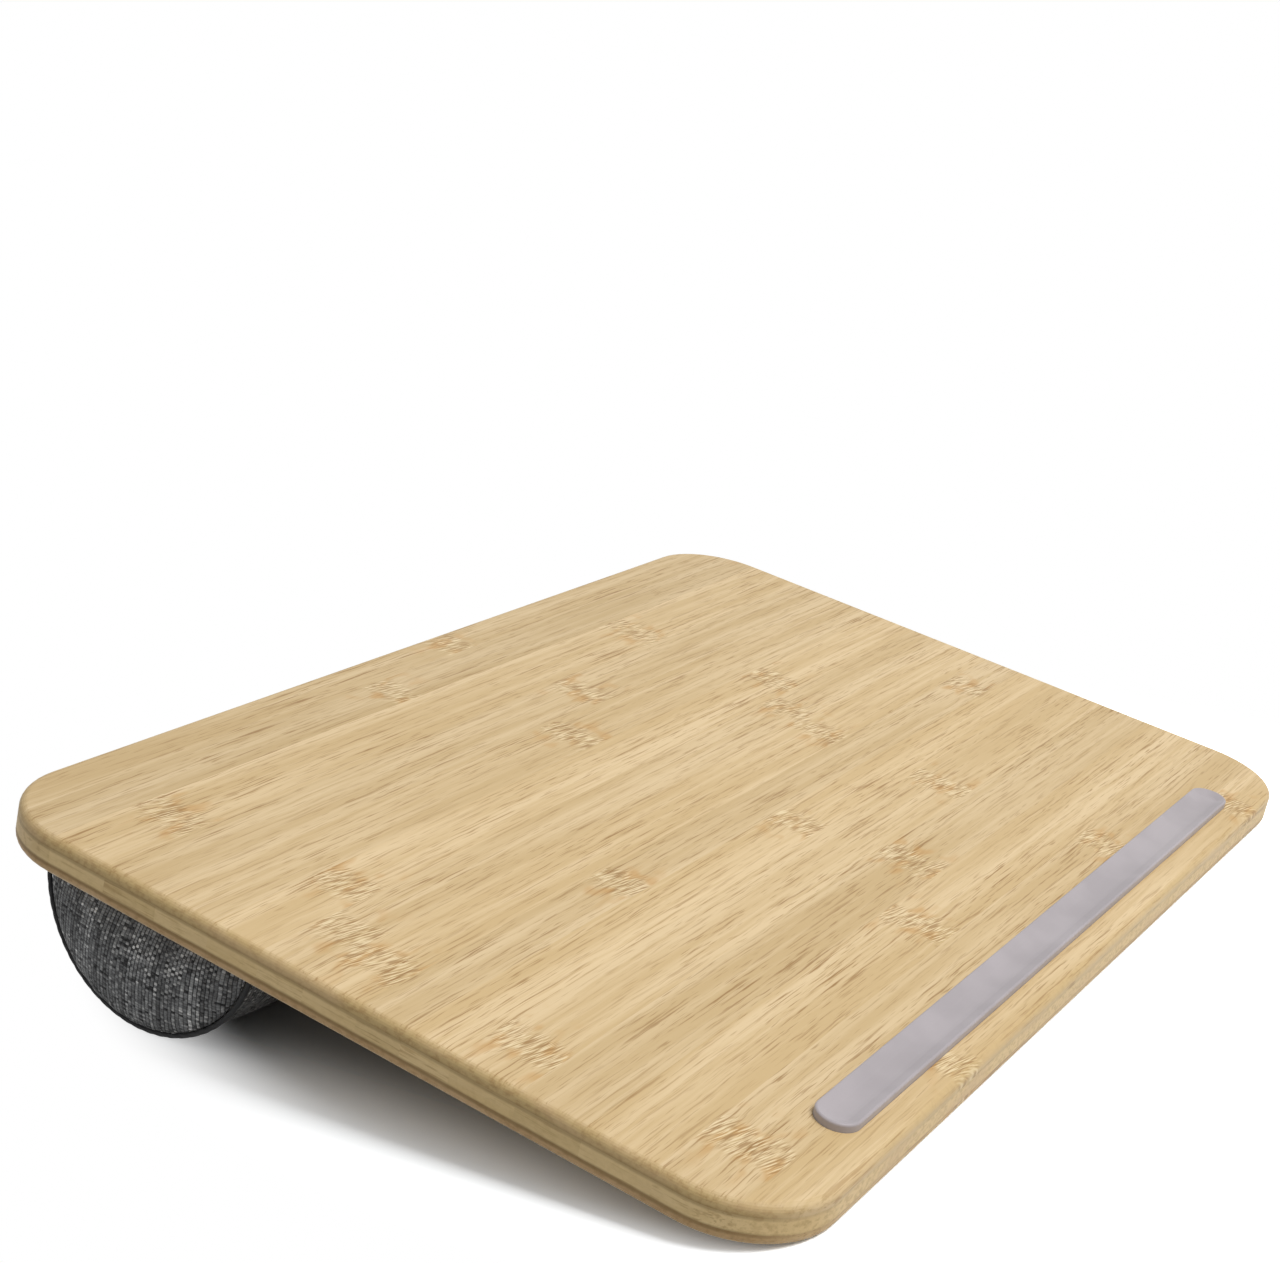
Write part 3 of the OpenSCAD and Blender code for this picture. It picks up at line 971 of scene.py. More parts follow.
@dataclass
class StuffedForm:
    """A closed form that fills the skin: its belly, its flat top and two bulging ends.

    Attributes:
        skin: The skin that it fills.
        inset: Its distance inside the skin.
        bulge: How far its ends bulge.
        room: How much deeper it lies behind the zip.
        opening: Angle at which the cover's hem under the zip starts.
    """

    skin: CushionSkin
    inset: float = 0.0
    bulge: float = 7 * MM
    room: float = 0.0
    opening: float = math.radians(22.27)
    columns: int = 104
    rear_rows: int = 7
    belly_rows: int = 48
    top_rows: int = 24
    rings: int = 12

    def __post_init__(self) -> None:
        """Lays the points and faces out, panel by panel."""
        half = self.skin.half_length - self.inset
        rear = np.linspace(0, self.opening, self.rear_rows + 1)
        belly = np.linspace(self.opening, math.pi, self.belly_rows + 1)[1:]
        self.angles = np.concatenate([rear, belly])
        self.xs = np.linspace(-half, half, self.columns + 1)
        x, angle = np.meshgrid(self.xs, self.angles, indexing="ij")
        behind_zip = np.clip((math.radians(38) - angle) / math.radians(6), 0, 1)
        round_part = self.skin.point(x, angle, self.inset + self.room * behind_zip)
        front = round_part[:, -1:]
        step = np.linspace(0, 1, self.top_rows + 1)[1:-1, None]
        grid = np.concatenate([round_part, front + (round_part[:, :1] - front) * step], 1)
        self.loop = grid.shape[1]
        girth = self.skin.radius * np.concatenate([self.angles, math.pi + 2 * step[:, 0]])
        self.flat = np.stack(np.broadcast_arrays(self.xs[:, None], girth[None]), -1).reshape(-1, 2)
        self.points = grid.reshape(-1, 3)
        self.body = len(self.points)
        number = np.arange(self.body).reshape(-1, self.loop)
        beside = np.roll(number, -1, 1)
        faces = np.stack([number[:-1], number[1:], beside[1:], beside[:-1]], -1)
        rows = len(self.angles) - 1
        self.panels = {
            "rear": faces[:, :self.rear_rows].reshape(-1, 4).tolist(),
            "main": faces[:, self.rear_rows:rows].reshape(-1, 4).tolist(),
            "top": faces[:, rows:].reshape(-1, 4).tolist(),
        }
        self.rim = {Side.LEFT: number[0], Side.RIGHT: number[-1]}
        self.first = {side: self._close(side) for side in Side}

    def _close(self, side: Side) -> int:
        """Adds the rings of an end panel inside its seam.

        Args:
            side: Which end.

        Returns:
            The number of the first ring's first point.
        """
        seam = self.rim[side]
        rim = self.points[seam]
        heart = np.array([rim[0, 0], self.skin.behind, -self.skin.below - self.skin.heart])
        shares = 1 - (np.arange(1, self.rings) / self.rings) ** 1.25
        rings = heart + (rim - heart) * shares[:, None, None]
        rings[:, :, 0] += side.value * self.bulge * ((1 - shares**2) ** 0.6)[:, None]
        tip = heart + [side.value * self.bulge, 0, 0]
        first = len(self.points)
        added = np.concatenate([rings.reshape(-1, 3), tip[None]])
        self.points = np.concatenate([self.points, added])
        self.flat = np.concatenate([self.flat, added[:, 1:]])
        number = np.concatenate([seam[None], first + np.arange(len(added) - 1).reshape(-1, self.loop)])
        beside = np.roll(number, -1, 1)
        faces = np.stack([number[:-1], beside[:-1], beside[1:], number[1:]], -1).reshape(-1, 4).tolist()
        tips = np.full(self.loop, first + len(added) - 1)
        faces += np.stack([number[-1], beside[-1], tips], -1).tolist()
        self.panels[side.word] = faces if side is Side.LEFT else [face[::-1] for face in faces]
        return first

    def rounds(self, points: np.ndarray) -> np.ndarray:
        """The body's points as columns by places round it, still the same numbers."""
        return points[:self.body].reshape(self.columns + 1, self.loop, 3)

    def faces(self, *keys: str) -> list[tuple[int, ...]]:
        """The faces of some panels, or of all of them."""
        return [tuple(face) for key in keys or self.panels for face in self.panels[key]]

    def cut(self, key: str, points: np.ndarray) -> MeshParts:
        """Cuts a panel out of the form.

        Args:
            key: The panel.
            points: The form's points, as they now lie.

        Returns:
            The panel's sheet.
        """
        faces = self.faces(key)
        used = sorted({i for face in faces for i in face})
        number = {old: new for new, old in enumerate(used)}
        axes = {"top": [0, 1], "left": [1, 2], "right": [1, 2]}.get(key)
        flat = self.points[used][:, axes] if axes else self.flat[used]
        return MeshParts(points[used], [tuple(number[i] for i in face) for face in faces], flat)


@dataclass
class Stuffing:
    """Settings of the cloth simulation that fills the cover."""

    frames: int = 14
    pressure: float = 100.0
    quality: int = 8
    stiffness: float = 22.0
    bending: float = 0.30
    slack: float = -0.02
    calming: int = 10
    most: float = 3.2 * MM
    free_from: float = math.radians(27)
    free_past: float = math.radians(42)

    def held(self, form: StuffedForm) -> np.ndarray:
        """How firmly each point is held: 1 on seams, on the flat top and round the zip.

        Args:
            form: The cover's form.

        Returns:
            One weight for each point, from 0 to 1.
        """
        weight = np.zeros(len(form.points))
        grid = weight[:form.body].reshape(-1, form.loop)
        rows = len(form.angles)
        fades = self.free_past - self.free_from
        grid[:, :rows] = np.clip((self.free_past - form.angles) / fades, 0, 1)
        grid[:, rows - 1:] = 1
        grid[[0, -1]] = 1
        return weight

    def fill(self, form: StuffedForm, board: BoardFrame) -> np.ndarray:
        """Swells the form between its held seams.

        Args:
            form: The cover's form.
            board: The board's frame.

        Returns:
            The form's points after it, in the board's frame.
        """
        piece = MeshParts(board.to_row(form.points), form.faces()).build("cover_while_stuffed")
        group = piece.vertex_groups.new(name="held")
        for index, weight in enumerate(self.held(form).tolist()):
            group.add([index], weight, "REPLACE")
        cloth = piece.modifiers.new("cloth", "CLOTH").settings
        cloth.quality = self.quality
        cloth.mass = 0.2
        cloth.tension_stiffness = cloth.compression_stiffness = self.stiffness
        cloth.shear_stiffness = self.stiffness / 2
        cloth.bending_stiffness = self.bending
        cloth.shrink_min = self.slack
        cloth.use_pressure = True
        cloth.uniform_pressure_force = self.pressure
        cloth.vertex_group_mass = "held"
        cloth.effector_weights.gravity = 0
        scene = bpy.context.scene
        for step in range(1, self.frames + 1):
            scene.frame_set(step)
        graph = bpy.context.evaluated_depsgraph_get()
        stuffed = np.zeros(len(form.points) * 3)
        piece.evaluated_get(graph).data.vertices.foreach_get("co", stuffed)
        move = self._calmed(form, board.from_row(stuffed.reshape(-1, 3)) - form.points)
        size = np.linalg.norm(move, axis=1)[:, None]
        scene.frame_set(1)
        bpy.data.objects.remove(piece)
        logger.info("cover stuffed: moves %.1f mm at most, %.1f mm on average",
                    float(size.max()) / MM, float(size.mean()) / MM)
        return form.points + move * np.minimum(1, self.most / np.maximum(size, 1e-9))

    def _calmed(self, form: StuffedForm, move: np.ndarray) -> np.ndarray:
        """Evens the points' moves out with their neighbours', which leaves only broad folds.

        Args:
            form: The cover's form.
            move: How far each point moved.

        Returns:
            The calmer moves, still none where the cloth is held.
        """
        pairs = (pair for face in form.faces() for pair in zip(face, face[1:] + face[:1]))
        ends = np.array(sorted({tuple(sorted(pair)) for pair in pairs}))
        held = (self.held(form) >= 1)[:, None]
        near = np.bincount(ends.ravel(), minlength=len(move))[:, None]
        for _ in range(self.calming):
            total = np.zeros_like(move)
            np.add.at(total, ends[:, 0], move[ends[:, 1]])
            np.add.at(total, ends[:, 1], move[ends[:, 0]])
            move = np.where(held, 0, (move + total / near) / 2)
        return move


@dataclass
class Cover:
    """The cushion's cover: stuffed, settled on the floor and cut into its four panels."""

    board: BoardFrame
    skin: CushionSkin
    cloth: float = 1.1 * MM
    start: CushionSkin = CushionSkin(swell=1.3 * MM, crown=0.8 * MM)
    start_bulge: float = 5.8 * MM
    top_back: float = 37.1 * MM
    top_front: float = 37.8 * MM
    rim_inset: float = 1.2 * MM
    floor_softness: float = 0.7 * MM
    pucker: float = 0.30 * MM
    pucker_every: float = 8.5 * MM
    pucker_reach: float = 6.0 * MM

    def __post_init__(self) -> None:
        """Stuffs the cover and settles it."""
        self.form = StuffedForm(self.start, bulge=self.start_bulge)
        points = Stuffing().fill(self.form, self.board)
        points = self._puckered(points)
        points[:, 2] = np.minimum(points[:, 2], -self.skin.below)
        row = self.board.to_row(points)
        row[:, 2] = 0.5 * (row[:, 2] + np.hypot(row[:, 2], self.floor_softness))
        self.settled = row

    def _puckered(self, points: np.ndarray) -> np.ndarray:
        """Gathers the cloth into small puckers on both sides of the end seams.

        Args:
            points: The cover's points in the board's frame.

        Returns:
            The points after it.
        """
        form = self.form
        girth = self.skin.radius * form.angles
        wave = np.sin(girth * 2 * math.pi / self.pucker_every + 1.7 * np.sin(girth / (11 * MM)))
        wave *= self.pucker * np.clip((form.angles - math.radians(42)) / math.radians(12), 0, 1)
        inside = self.skin.half_length - np.abs(form.xs)
        reach = np.exp(-((inside - 3 * MM) / self.pucker_reach) ** 2) * (inside > 1 * MM)
        moved = points.copy()
        grid = form.rounds(moved)[:, :len(wave)]
        out = (grid - [0, self.skin.behind, -self.skin.below]) * [0, 1, 1]
        out /= np.linalg.norm(out, axis=2)[:, :, None]
        grid += out * (reach[:, None] * wave)[:, :, None]
        for side in Side:
            for ring, share in enumerate((0.8, 1.0, 0.7, 0.4, 0.2)):
                start = form.first[side] + ring * form.loop
                moved[start:start + len(wave), 0] += side.value * share * wave
        return moved

    def panels(self, finish: bpy.types.Material) -> None:
        """Cuts the cover into its panels.

        Args:
            finish: The cloth.
        """
        for name, key, node in (
            ("cushion_main_panel", "main", "cover_main_panel"),
            ("cushion_left_end", "left", "cover_end_left"),
            ("cushion_right_end", "right", "cover_end_right"),
            ("cushion_flat_top", "top", "cover_top_panel"),
        ):
            sheet = self.form.cut(key, self._fitted(key))
            piece = dress(sheet.thick(name, self.cloth), finish)
            declare(piece, "cushion", "cover_cloth", node)

    def _fitted(self, key: str) -> np.ndarray:
        """Draws a panel in where it is sewn inside its neighbours.

        Args:
            key: The panel.

        Returns:
            The cover's points in the model's frame, with that panel's edge drawn in.
        """
        points = self.settled.copy()
        if key in ("left", "right"):
            side = Side[key.upper()]
            seam = self.form.rim[side]
            ring = self.form.first[side] + np.arange(self.form.loop)
            inward = (points[ring] - points[seam]) * [0, 1, 1]
            inward /= np.linalg.norm(inward, axis=1)[:, None]
            points[seam] += inward * self.rim_inset
        if key == "top":
            flat = self.board.from_row(points)
            near, far = self.skin.behind - self.top_front, self.skin.behind + self.top_back
            flat[:, 1] = np.clip(flat[:, 1], near, far)
            points = self.board.to_row(flat)
        return points

    def seam_line(self, below_hem: float) -> tuple[np.ndarray, np.ndarray]:
        """A line along the main panel, below its hem under the zip.

        Args:
            below_hem: Distance down from the hem.

        Returns:
            The line's points and the direction away from the cloth at each.
        """
        form = self.form
        grid = form.rounds(self.settled)[1:-1]
        angle = form.opening + self.skin.down(below_hem)
        index = int(np.searchsorted(form.angles, angle)) - 1
        share = (angle - form.angles[index]) / (form.angles[index + 1] - form.angles[index])
        line = grid[:, index] * (1 - share) + grid[:, index + 1] * share
        out = np.cross([1.0, 0.0, 0.0], grid[:, index + 1] - grid[:, index])
        out /= np.linalg.norm(out, axis=1)[:, None]
        return line, out


@dataclass
class Piping:
    """Twisted cord sewn all round an end seam, over the half circle and back along the flat top."""

    board: BoardFrame
    skin: CushionSkin
    radius: float = 0.8 * MM
    groove: float = 0.22
    strands: int = 3
    lay: float = 4.2 * MM
    step: float = 0.35 * MM
    sides: int = 12

    def build(self, side: Side, finish: bpy.types.Material) -> None:
        """Makes one cord.

        Args:
            side: Which end.
            finish: The cord's material.
        """
        r = self.skin.radius
        run = np.arange(0, r * (math.pi + 2), self.step)
        angle = np.minimum(run / r, math.pi)
        back = np.maximum(run - r * math.pi, 0)
        y = self.skin.behind + np.where(back > 0, back - r, r * np.cos(angle))
        z = -self.skin.below - np.where(back > 0, 0, r * np.sin(angle))
        x = np.full_like(run, side.value * (self.skin.half_length + self.radius))
        points = self.board.to_row(np.stack([x, y, z], -1))
        points[:, 2] = np.maximum(points[:, 2], self.radius)
        turn = np.arange(self.sides) * 2 * math.pi / self.sides
        twist = self.strands * turn[None] + side.value * run[:, None] * 2 * math.pi / self.lay
        radius = self.radius * (1 - self.groove * (1 - np.abs(np.cos(twist / 2))))
        piece = dress(tube(points, radius).build(f"cushion_piping_{side.word}"), finish)
        declare(piece, "cushion", "piping", f"piping_{side.word}")


@dataclass
class ZipTapes:
    """The two woven tapes behind the zip's teeth."""

    board: BoardFrame
    skin: CushionSkin
    zip_angle: float
    inset: float = 1.2 * MM
    thickness: float = 0.6 * MM
    edge: float = 1.4 * MM
    closed: float = 0.2 * MM
    chain: float = 163 * MM
    closes_over: float = 8 * MM
    width: float = 11 * MM
    top_edge: float = math.radians(0.5)
    columns: int = 150

    def build(self, finish: bpy.types.Material) -> None:
        """Makes both tapes, which close up past the ends of the chain."""
        start = self.zip_angle + self.skin.down(self.edge)
        ends = (self.chain, self.chain + self.closes_over)
        for word, way, far in (
            ("upper", -1, self.top_edge),
            ("lower", 1, start + self.skin.down(self.width)),
        ):
            node = f"zip_tape_{word}"
            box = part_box(node)
            xs = np.linspace(box[0][0], box[1][0], self.columns + 1)
            apart = np.interp(np.abs(xs), ends, (self.edge, self.closed))
            near = (self.zip_angle + way * self.skin.down(apart))[:, None]
            share = np.linspace(0, 1, round(abs(far - start) * self.skin.radius / MM) + 1)[None]
            angle = near + (far - near) * share
            angle = angle if way < 0 else angle[:, ::-1]
            x = np.broadcast_to(xs[:, None], angle.shape)
            outer = self.board.to_row(self.skin.point(x, angle, self.inset))
            inner = self.board.to_row(self.skin.point(x, angle, self.inset + self.thickness))
            sheet = MeshParts.slab(outer, inner, np.stack([x, angle * self.skin.radius], -1))
            piece = dress(sheet.build(f"woven_tape_{word}"), finish)
            declare(piece, "cushion", "zip_tape", node)

    def seam_line(self, angle: float) -> tuple[np.ndarray, np.ndarray]:
        """A line along the tapes at one angle, and the direction away from them."""
        xs = np.linspace(-self.skin.half_length + 3 * MM, self.skin.half_length - 3 * MM, 100)
        angles = np.full_like(xs, angle)
        line = self.board.to_row(self.skin.point(xs, angles, self.inset))
        outer = self.board.to_row(self.skin.point(xs, angles, self.inset - 1 * MM))
        return line, (outer - line) / MM


@dataclass
class Fastening:
    """Two pairs of hook-and-loop tapes: hooks under the board, loops on the cushion's flat top."""

    board: BoardFrame
    skin: CushionSkin
    length: float = 340 * MM
    width: float = 20 * MM
    thickness: float = 0.6 * MM
    backing: float = 0.28 * MM
    spread: float = 21 * MM
    underside: float = -12 * MM
    pitch: float = 1.0 * MM
    selvedge: float = 1.5 * MM
    seed: int = 11

    def build(self, hooks: bpy.types.Material, loops: bpy.types.Material) -> None:
        """Makes the four tapes.

        Args:
            hooks: The hook tapes' material.
            loops: The loop tapes' material.
        """
        chance = np.random.default_rng(self.seed)
        shape = (round(self.length / self.pitch) + 1, round(self.width / self.pitch) + 1)
        hooked = (np.add.outer(np.arange(shape[0]), np.arange(shape[1])) % 2) * 0.95
        for word, way in (("front", -1), ("rear", 1)):
            middle = self.skin.behind + way * self.spread
            looped = chance.uniform(0.25, 0.95, shape)
            piece = self._tape(f"hook_strip_{word}", hooked, -1, self.underside, middle)
            declare(dress(piece, hooks), "board", "fastening_tape", f"hook_tape_{word}")
            piece = self._tape(f"loop_strip_{word}", looped, 1, -self.skin.below, middle)
            declare(dress(piece, loops), "cushion", "fastening_tape", f"loop_tape_{word}")

    def _tape(self, name: str, pile: np.ndarray, face: int, base: float,
              middle: float) -> bpy.types.Object:
        """Makes one tape.

        Args:
            name: The piece's name.
            pile: How high the hooks or loops stand, from 0 to 1, as rows by columns.
            face: 1 where it faces up and -1 where it faces down.
            base: Height of its glued or sewn side.
            middle: Its middle, from the board's middle to the back.

        Returns:
            The tape.
        """
        x, y = np.meshgrid(*[np.linspace(-reach / 2, reach / 2, count) for reach, count in
                             zip((self.length, self.width), pile.shape)], indexing="ij")
        bare = (self.width / 2 - np.abs(y) < self.selvedge) | (self.length / 2 - np.abs(x) < self.pitch)
        height = self.backing + (self.thickness - self.backing) * np.where(bare, 0, pile)
        sides = [np.stack([x, middle + y, base + face * level], -1) for level in (height, 0 * height)]
        outer, inner = (self.board.to_row(side)[::-face] for side in sides)
        return MeshParts.slab(outer, inner, np.stack([x, y], -1)[::-face]).build(name)

    def seams(self) -> list[tuple[np.ndarray, np.ndarray]]:
        """Lines along the long sides of both loop tapes, and the direction away from them."""
        xs = np.linspace(-self.length / 2 + 2 * MM, self.length / 2 - 2 * MM, 60)
        ends = self.board.to_row(np.array([[0.0, 0, 0], [0, 0, 1]]))
        up = np.repeat(ends[1:] - ends[:1], len(xs), 0)
        lines = []
        for way in (-1, 1):
            for side in (-1, 1):
                y = self.skin.behind + way * self.spread + side * (self.width / 2 - 0.8 * MM)
                line = np.stack([xs, xs * 0 + y, xs * 0 - self.skin.below + self.backing], -1)
                lines.append((self.board.to_row(line), up))
        return lines


@dataclass
class Filling:
    """What the cover holds: a thin cotton liner, full of polystyrene beads."""

    board: BoardFrame
    skin: CushionSkin = CushionSkin(swell=0.8 * MM, crown=0.2 * MM)
    liner_inset: float = 1.4 * MM
    liner_thickness: float = 0.4 * MM
    beads_inset: float = 2.1 * MM
    slider_room: float = 2.3 * MM
    bulge: float = 4.6 * MM
    bead: float = 4.6 * MM
    dent: float = 0.9 * MM
    seed: int = 5

    def build(self, cotton: bpy.types.Material, beads: bpy.types.Material) -> None:
        """Makes the liner and the beads.

        Args:
            cotton: The liner's cloth.
            beads: The beads' material.
        """
        form = StuffedForm(self.skin, self.liner_inset, self.bulge, self.slider_room)
        sheet = MeshParts(self._settled(form.points, self.liner_inset), form.faces(), form.flat)
        piece = dress(sheet.thick("cotton_liner", self.liner_thickness, 0), cotton)
        declare(piece, "cushion", "liner_cloth", "liner")
        form = StuffedForm(self.skin, self.beads_inset, self.bulge - 0.6 * MM, self.slider_room,
                           columns=190, belly_rows=60, top_rows=36, rings=18)
        points = self._settled(self._dented(form), self.beads_inset)
        piece = dress(MeshParts(points, form.faces()).build("loose_beads"), beads)
        declare(piece, "cushion", "beads", "bead_filling")

    def _settled(self, points: np.ndarray, lowest: float) -> np.ndarray:
        """Lays a form into the model's frame, flat where it rests on the floor."""
        row = self.board.to_row(points)
        row[:, 2] = np.maximum(row[:, 2], lowest)
        return row

    def _dented(self, form: StuffedForm) -> np.ndarray:
        """Presses the gaps between the outer beads in.

        Args:
            form: The beads' smooth form.

        Returns:
            The form's points after it.
        """
        points = form.points
        cell = np.floor(points / self.bead).astype(int)
        nearest = np.full(len(points), np.inf)
        for shift in np.ndindex(3, 3, 3):
            there = cell + np.array(shift) - 1
            key = np.abs((there * [73856093, 19349663, 83492791]).sum(1) + self.seed)
            own = np.stack([(key * factor) % 1009 / 1009 for factor in (31, 57, 91)], 1)
            centre = (there + 0.25 + 0.5 * own) * self.bead
            nearest = np.minimum(nearest, np.linalg.norm(points - centre, axis=1))
        inward = np.array([0, self.skin.behind, -self.skin.below - self.skin.heart]) - points
        inward[:form.body, 0] = 0
        inward /= np.linalg.norm(inward, axis=1)[:, None]
        return points + inward * (self.dent * np.clip(nearest / self.bead, 0, 1) ** 2)[:, None]


@dataclass
class Cushion:
    """The whole cushion, with the zip's solids that ride on it."""

    board: BoardFrame
    nodes: dict
    skin: CushionSkin = field(default_factory=CushionSkin)
    zip_lead: float = math.radians(2)
    hem_rows: tuple[float, ...] = (1.7 * MM, 4.3 * MM)
    top_row: float = math.radians(2.6)
    cloth: WovenFinish = WovenFinish(
        "melange_linen", (0.025, 0.025, 0.026), (0.235, 0.239, 0.242), (0.70, 0.70, 0.69))
    tape: WovenFinish = WovenFinish(
        "zip_tape_twill", (0.010, 0.010, 0.011), (0.024, 0.024, 0.026), (0.05, 0.05, 0.055),
        0.8 * MM, 0.6 * MM, 0.12 * MM, 0.02 * MM, 0.1)
    pile: WovenFinish = WovenFinish(
        "fastening_pile", (0.008, 0.008, 0.009), (0.020, 0.020, 0.022), (0.06, 0.06, 0.065),
        0.5 * MM, 0.5 * MM, 0.10 * MM, 0.3 * MM, 0.0)
    cotton: WovenFinish = WovenFinish(
        "liner_cotton", (0.55, 0.53, 0.49), (0.70, 0.68, 0.64), (0.80, 0.79, 0.75),
        0.45 * MM, 0.45 * MM, 0.06 * MM, 0.05 * MM, 0.05)
    hooks: MouldedFinish = MouldedFinish("hook_nylon", (0.016, 0.016, 0.018), 0.5, 0.1)
    cord: MouldedFinish = MouldedFinish(
        "piping_cord", (0.010, 0.010, 0.011), 0.7, 0.15, 2600, 0.05 * MM)
    teeth: MouldedFinish = MouldedFinish("zip_nylon", (0.016, 0.016, 0.018), 0.34)
    metal: CastMetalFinish = CastMetalFinish("zip_metal")
    beads: BeadFinish = BeadFinish("polystyrene_beads")

    def build(self) -> None:
        """Makes the cushion's pieces and finishes the zip's solids."""
        cover = Cover(self.board, self.skin)
        cover.panels(self.cloth.material())
        cord = self.cord.material()
        for side in Side:
            Piping(self.board, self.skin).build(side, cord)
        tapes = ZipTapes(self.board, self.skin, self.board.tilt + self.zip_lead)
        tapes.build(self.tape.material())
        fastening = Fastening(self.board, self.skin)
        fastening.build(self.hooks.material(), self.pile.material())
        for name, seams in (
            ("hem_stitches", [cover.seam_line(row) for row in self.hem_rows]),
            ("tape_stitches", [tapes.seam_line(self.top_row)]),
            ("loop_stitches", fastening.seams()),
        ):
            piece = dress(Thread().sew(seams).build(name), cord)
            declare(piece, "cushion", "piping")
        Filling(self.board).build(self.cotton.material(), self.beads.material())
        for finish, nodes in (
            (self.teeth.material(), ("zip_teeth_upper", "zip_teeth_lower")),
            (self.metal.material(), ("zip_stop_left", "zip_stop_right", "zip_slider", "zip_pull_tab")),
        ):
            for node in nodes:
                dress(self.nodes[node], finish)
                logger.info("%s has its finish", node)


@dataclass
class Board:
    """The board: three bamboo plies, the stopper strip and the film that glues it in."""

    board: BoardFrame
    nodes: dict
    face: BambooFinish = BambooFinish(
        "bamboo_face", Grain.ALONG_BOARD,
        (0.69, 0.528, 0.312), (0.57, 0.412, 0.210), (0.30, 0.165, 0.055), (0.50, 0.360, 0.160))
    core: BambooFinish = BambooFinish(
        "bamboo_core", Grain.ACROSS_BOARD,
        (0.72, 0.545, 0.285), (0.60, 0.440, 0.205), (0.36, 0.225, 0.085), (0.66, 0.485, 0.240))
    base: BambooFinish = BambooFinish(
        "bamboo_base", Grain.ALONG_BOARD,
        (0.62, 0.450, 0.235), (0.51, 0.350, 0.165), (0.26, 0.145, 0.050), (0.46, 0.300, 0.145))
    silicone: MouldedFinish = MouldedFinish("silicone", (0.385, 0.350, 0.365), 0.46, 0.1)
    glue: MouldedFinish = MouldedFinish("glue_film", (0.03, 0.03, 0.03), 0.6)

    def build(self) -> None:
        """Finishes the board's solids."""
        for node, finish in (
            ("top_ply", self.face.material(self.board)),
            ("core_ply", self.core.material(self.board)),
            ("bottom_ply", self.base.material(self.board)),
            ("stopper_strip", self.silicone.material()),
            ("stopper_adhesive", self.glue.material()),
        ):
            dress(self.nodes[node], finish)
            logger.info("%s has its finish", node)


@dataclass
class Camera:
    """The photograph's view, solved from the board's corners and edges."""

    place: Triple = (-0.6574, -0.3487, 0.2888)
    right: Triple = (0.5266, -0.8496, 0.0324)
    up: Triple = (0.1619, 0.1377, 0.9771)
    image: tuple[int, int] = (1280, 1263)
    focal_pixels: float = 2320.0
    centre: tuple[float, float] = (601.0, 515.0)
    sensor: float = 36.0

    def build(self) -> None:
        """Makes the camera and gives it to the scene."""
        width, height = self.image
        data = bpy.data.cameras.new("camera")
        data.sensor_width = self.sensor
        data.lens = self.sensor * self.focal_pixels / width
        data.shift_x = (width / 2 - self.centre[0]) / width
        data.shift_y = (self.centre[1] - height / 2) / width
        data.clip_start = 0.05
        camera = bpy.data.objects.new("camera", data)
        right = Vector(self.right).normalized()
        back = right.cross(Vector(self.up)).normalized()
        turn = Matrix((right, back.cross(right), back)).transposed().to_4x4()
        camera.matrix_world = Matrix.Translation(self.place) @ turn
        bpy.context.scene.collection.objects.link(camera)
        bpy.context.scene.camera = camera


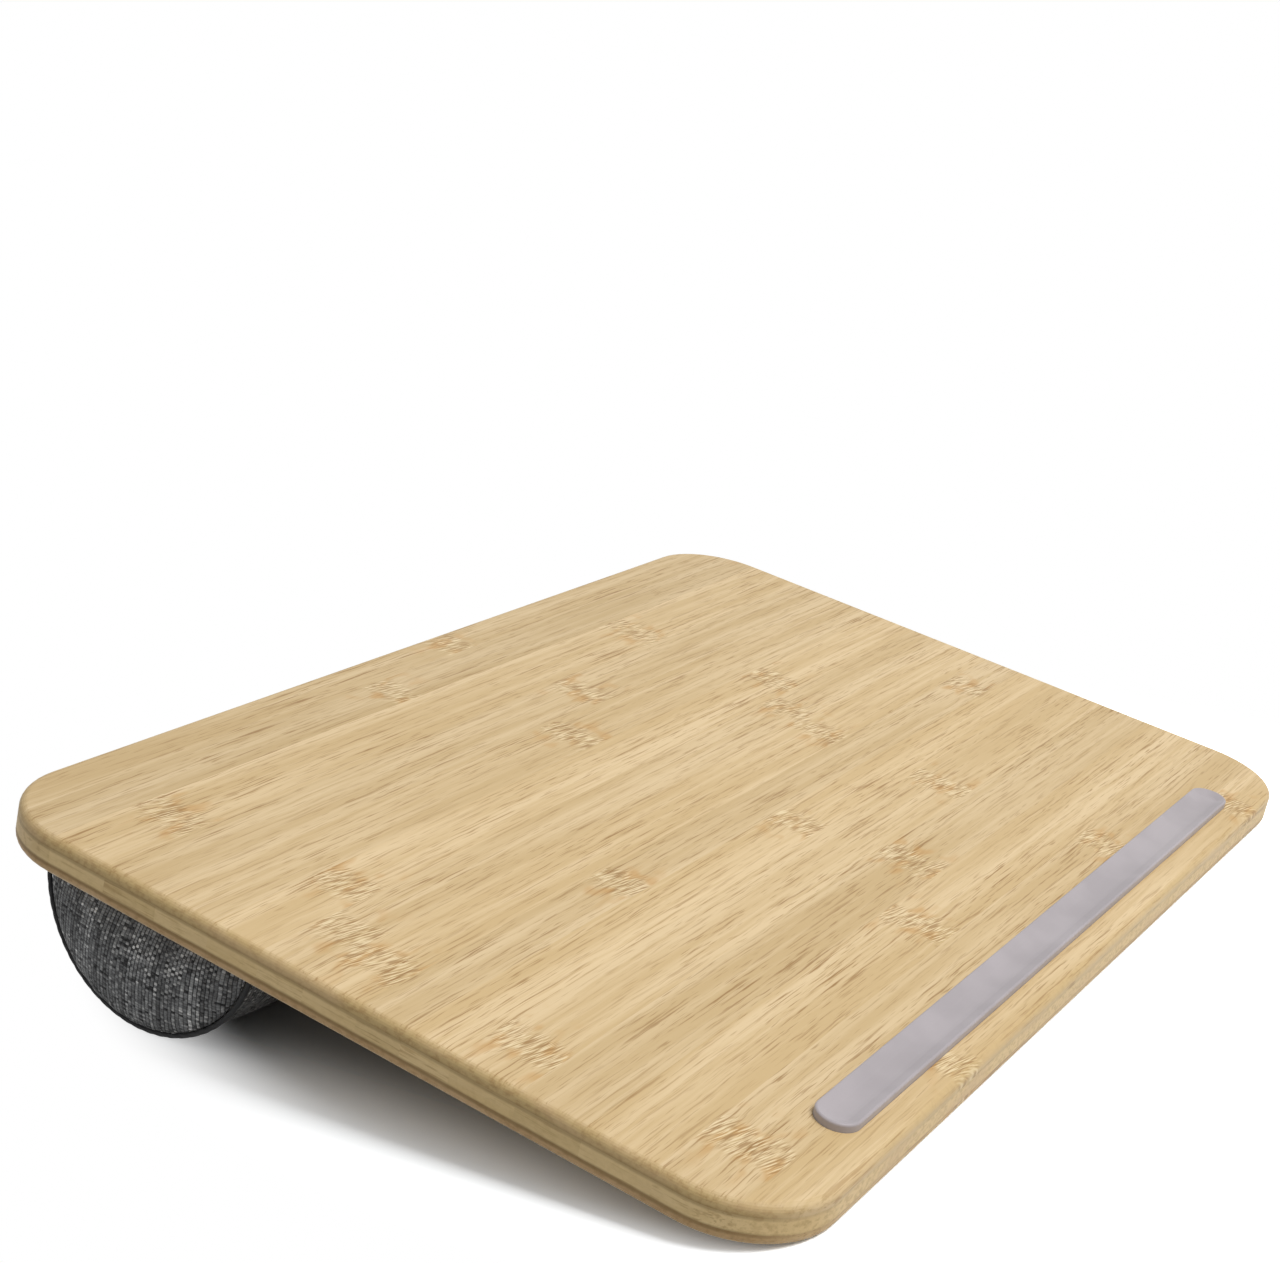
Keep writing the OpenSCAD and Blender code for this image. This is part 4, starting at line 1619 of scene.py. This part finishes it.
@dataclass
class Studio:
    """Pale floor, white surroundings and soft lamps.

    Attributes:
        bounce: Brightness of the floor in the light that it throws back.
        seen: Colour of the floor as the camera sees it.
        under: Share of that colour that is left deep under the object, as a painted shadow.
        covered: Half the width and half the depth of the floor deep under the object, where the shadow
            is painted.
        covered_fades: Distance from there over which the painted shadow fades back to the floor's full
            colour.
        white_round: The place that the floor turns white round.
        white_from: Distance from it at which the floor starts to turn white.
        white_past: Distance at which it is all white.
        sky: Strength of the light from all round.
        lamps: Name, place, power and size of each lamp.
        reach: The floor's radius.
        sides: How many sides it has.
        sunk: How far it lies below the object.
    """

    bounce: float = 0.50
    seen: Triple = (1.62, 1.67, 1.71)
    under: float = 0.32
    covered: Triple = (165 * MM, 88 * MM, 1.0)
    covered_fades: float = 38 * MM
    white_round: Triple = (40 * MM, -50 * MM, 0.0)
    white_from: float = 0.242
    white_past: float = 0.282
    sky: float = 0.48
    lamps: tuple[tuple[str, Triple, float, float], ...] = (
        ("key", (0.05, -1.20, 1.75), 34.0, 1.1),
    )
    reach: float = 60.0
    sides: int = 64
    sunk: float = 0.05 * MM

    def build(self) -> None:
        """Makes the floor, the surroundings and the lamps."""
        self._floor()
        self._surroundings()
        for name, place, power, size in self.lamps:
            data = bpy.data.lights.new(name, "AREA")
            data.energy = power
            data.size = size
            lamp = bpy.data.objects.new(name, data)
            lamp.location = place
            lamp.rotation_euler = (-Vector(place)).to_track_quat("-Z", "Y").to_euler()
            bpy.context.scene.collection.objects.link(lamp)

    @staticmethod
    def _shown(tree: bpy.types.NodeTree) -> Socket:
        """1 for rays that show a surface to the camera: straight, mirrored or through glass."""
        rays = tree.nodes.new("ShaderNodeLightPath").outputs
        shown = rays["Is Camera Ray"]
        for name in ("Is Glossy Ray", "Is Transmission Ray"):
            either = tree.nodes.new("ShaderNodeMath")
            either.operation = "MAXIMUM"
            tree.links.new(shown, either.inputs[0])
            tree.links.new(rays[name], either.inputs[1])
            shown = either.outputs[0]
        return shown

    @staticmethod
    def _length(graph: Graph, vector: Socket) -> Socket:
        """The length of a vector."""
        node = graph.add("ShaderNodeVectorMath", operation="LENGTH")
        graph.feed(node.inputs[0], vector)
        return node.outputs["Value"]

    def _floor(self) -> None:
        """A wide floor that keeps the shadow, deepens it with a painted shadow in its seen colour under
        the object, and turns white away from the object.
        """
        turn = np.linspace(0, 2 * math.pi, self.sides + 1)[:-1]
        rim = np.stack([np.cos(turn) * self.reach, np.sin(turn) * self.reach, 0 * turn - self.sunk], 1)
        floor = MeshParts(rim, [tuple(range(self.sides))]).build("floor")
        graph = Graph("floor")
        graph.tree.nodes.remove(graph.shader)
        shown = self._shown(graph.tree)
        at = graph.here()
        # Painted shadow: the floor's seen colour is darkened inside a box deep under the object and
        # fades back to full colour outside it.
        sides = graph.vector("SUBTRACT", graph.vector("ABSOLUTE", at, at), self.covered)
        beyond = self._length(graph, graph.vector("MAXIMUM", sides, (0.0, 0.0, 0.0)))
        seen = graph.shade(self.seen, graph.fade(beyond, 0.0, self.covered_fades, self.under, 1.0))
        matt = graph.add("ShaderNodeBsdfDiffuse")
        graph.feed(matt.inputs["Color"], graph.mix(shown, (self.bounce,) * 3, seen))
        away = self._length(graph, graph.vector("SUBTRACT", at, self.white_round))
        far = graph.fade(away, self.white_from, self.white_past)
        blend = graph.add("ShaderNodeMixShader")
        graph.feed(blend.inputs[0], graph.times(far, shown))
        graph.feed(blend.inputs[1], matt.outputs[0])
        graph.feed(blend.inputs[2], graph.add("ShaderNodeEmission").outputs[0])
        graph.feed(graph.output.inputs["Surface"], blend.outputs[0])
        dress(floor, graph.material)

    def _surroundings(self) -> None:
        """Soft light from all round, seen as white."""
        world = bpy.data.worlds.new("studio")
        world.use_nodes = True
        tree = world.node_tree
        tree.nodes.clear()
        level = tree.nodes.new("ShaderNodeMapRange")
        level.inputs["To Min"].default_value = self.sky
        backdrop = tree.nodes.new("ShaderNodeBackground")
        backdrop.inputs["Color"].default_value = (1.0, 1.0, 1.0, 1.0)
        output = tree.nodes.new("ShaderNodeOutputWorld")
        tree.links.new(self._shown(tree), level.inputs["Value"])
        tree.links.new(level.outputs[0], backdrop.inputs["Strength"])
        tree.links.new(backdrop.outputs[0], output.inputs["Surface"])
        bpy.context.scene.world = world


def main() -> None:
    """Builds the scene."""
    logging.basicConfig(level=logging.INFO, format="%(name)s: %(message)s")
    bpy.context.scene.view_settings.view_transform = "Standard"
    board = BoardFrame.from_record(frame["record"])
    Camera().build()
    Studio().build()
    Board(board, frame["nodes"]).build()
    Cushion(board, frame["nodes"]).build()


if __name__ == "__main__":
    main()
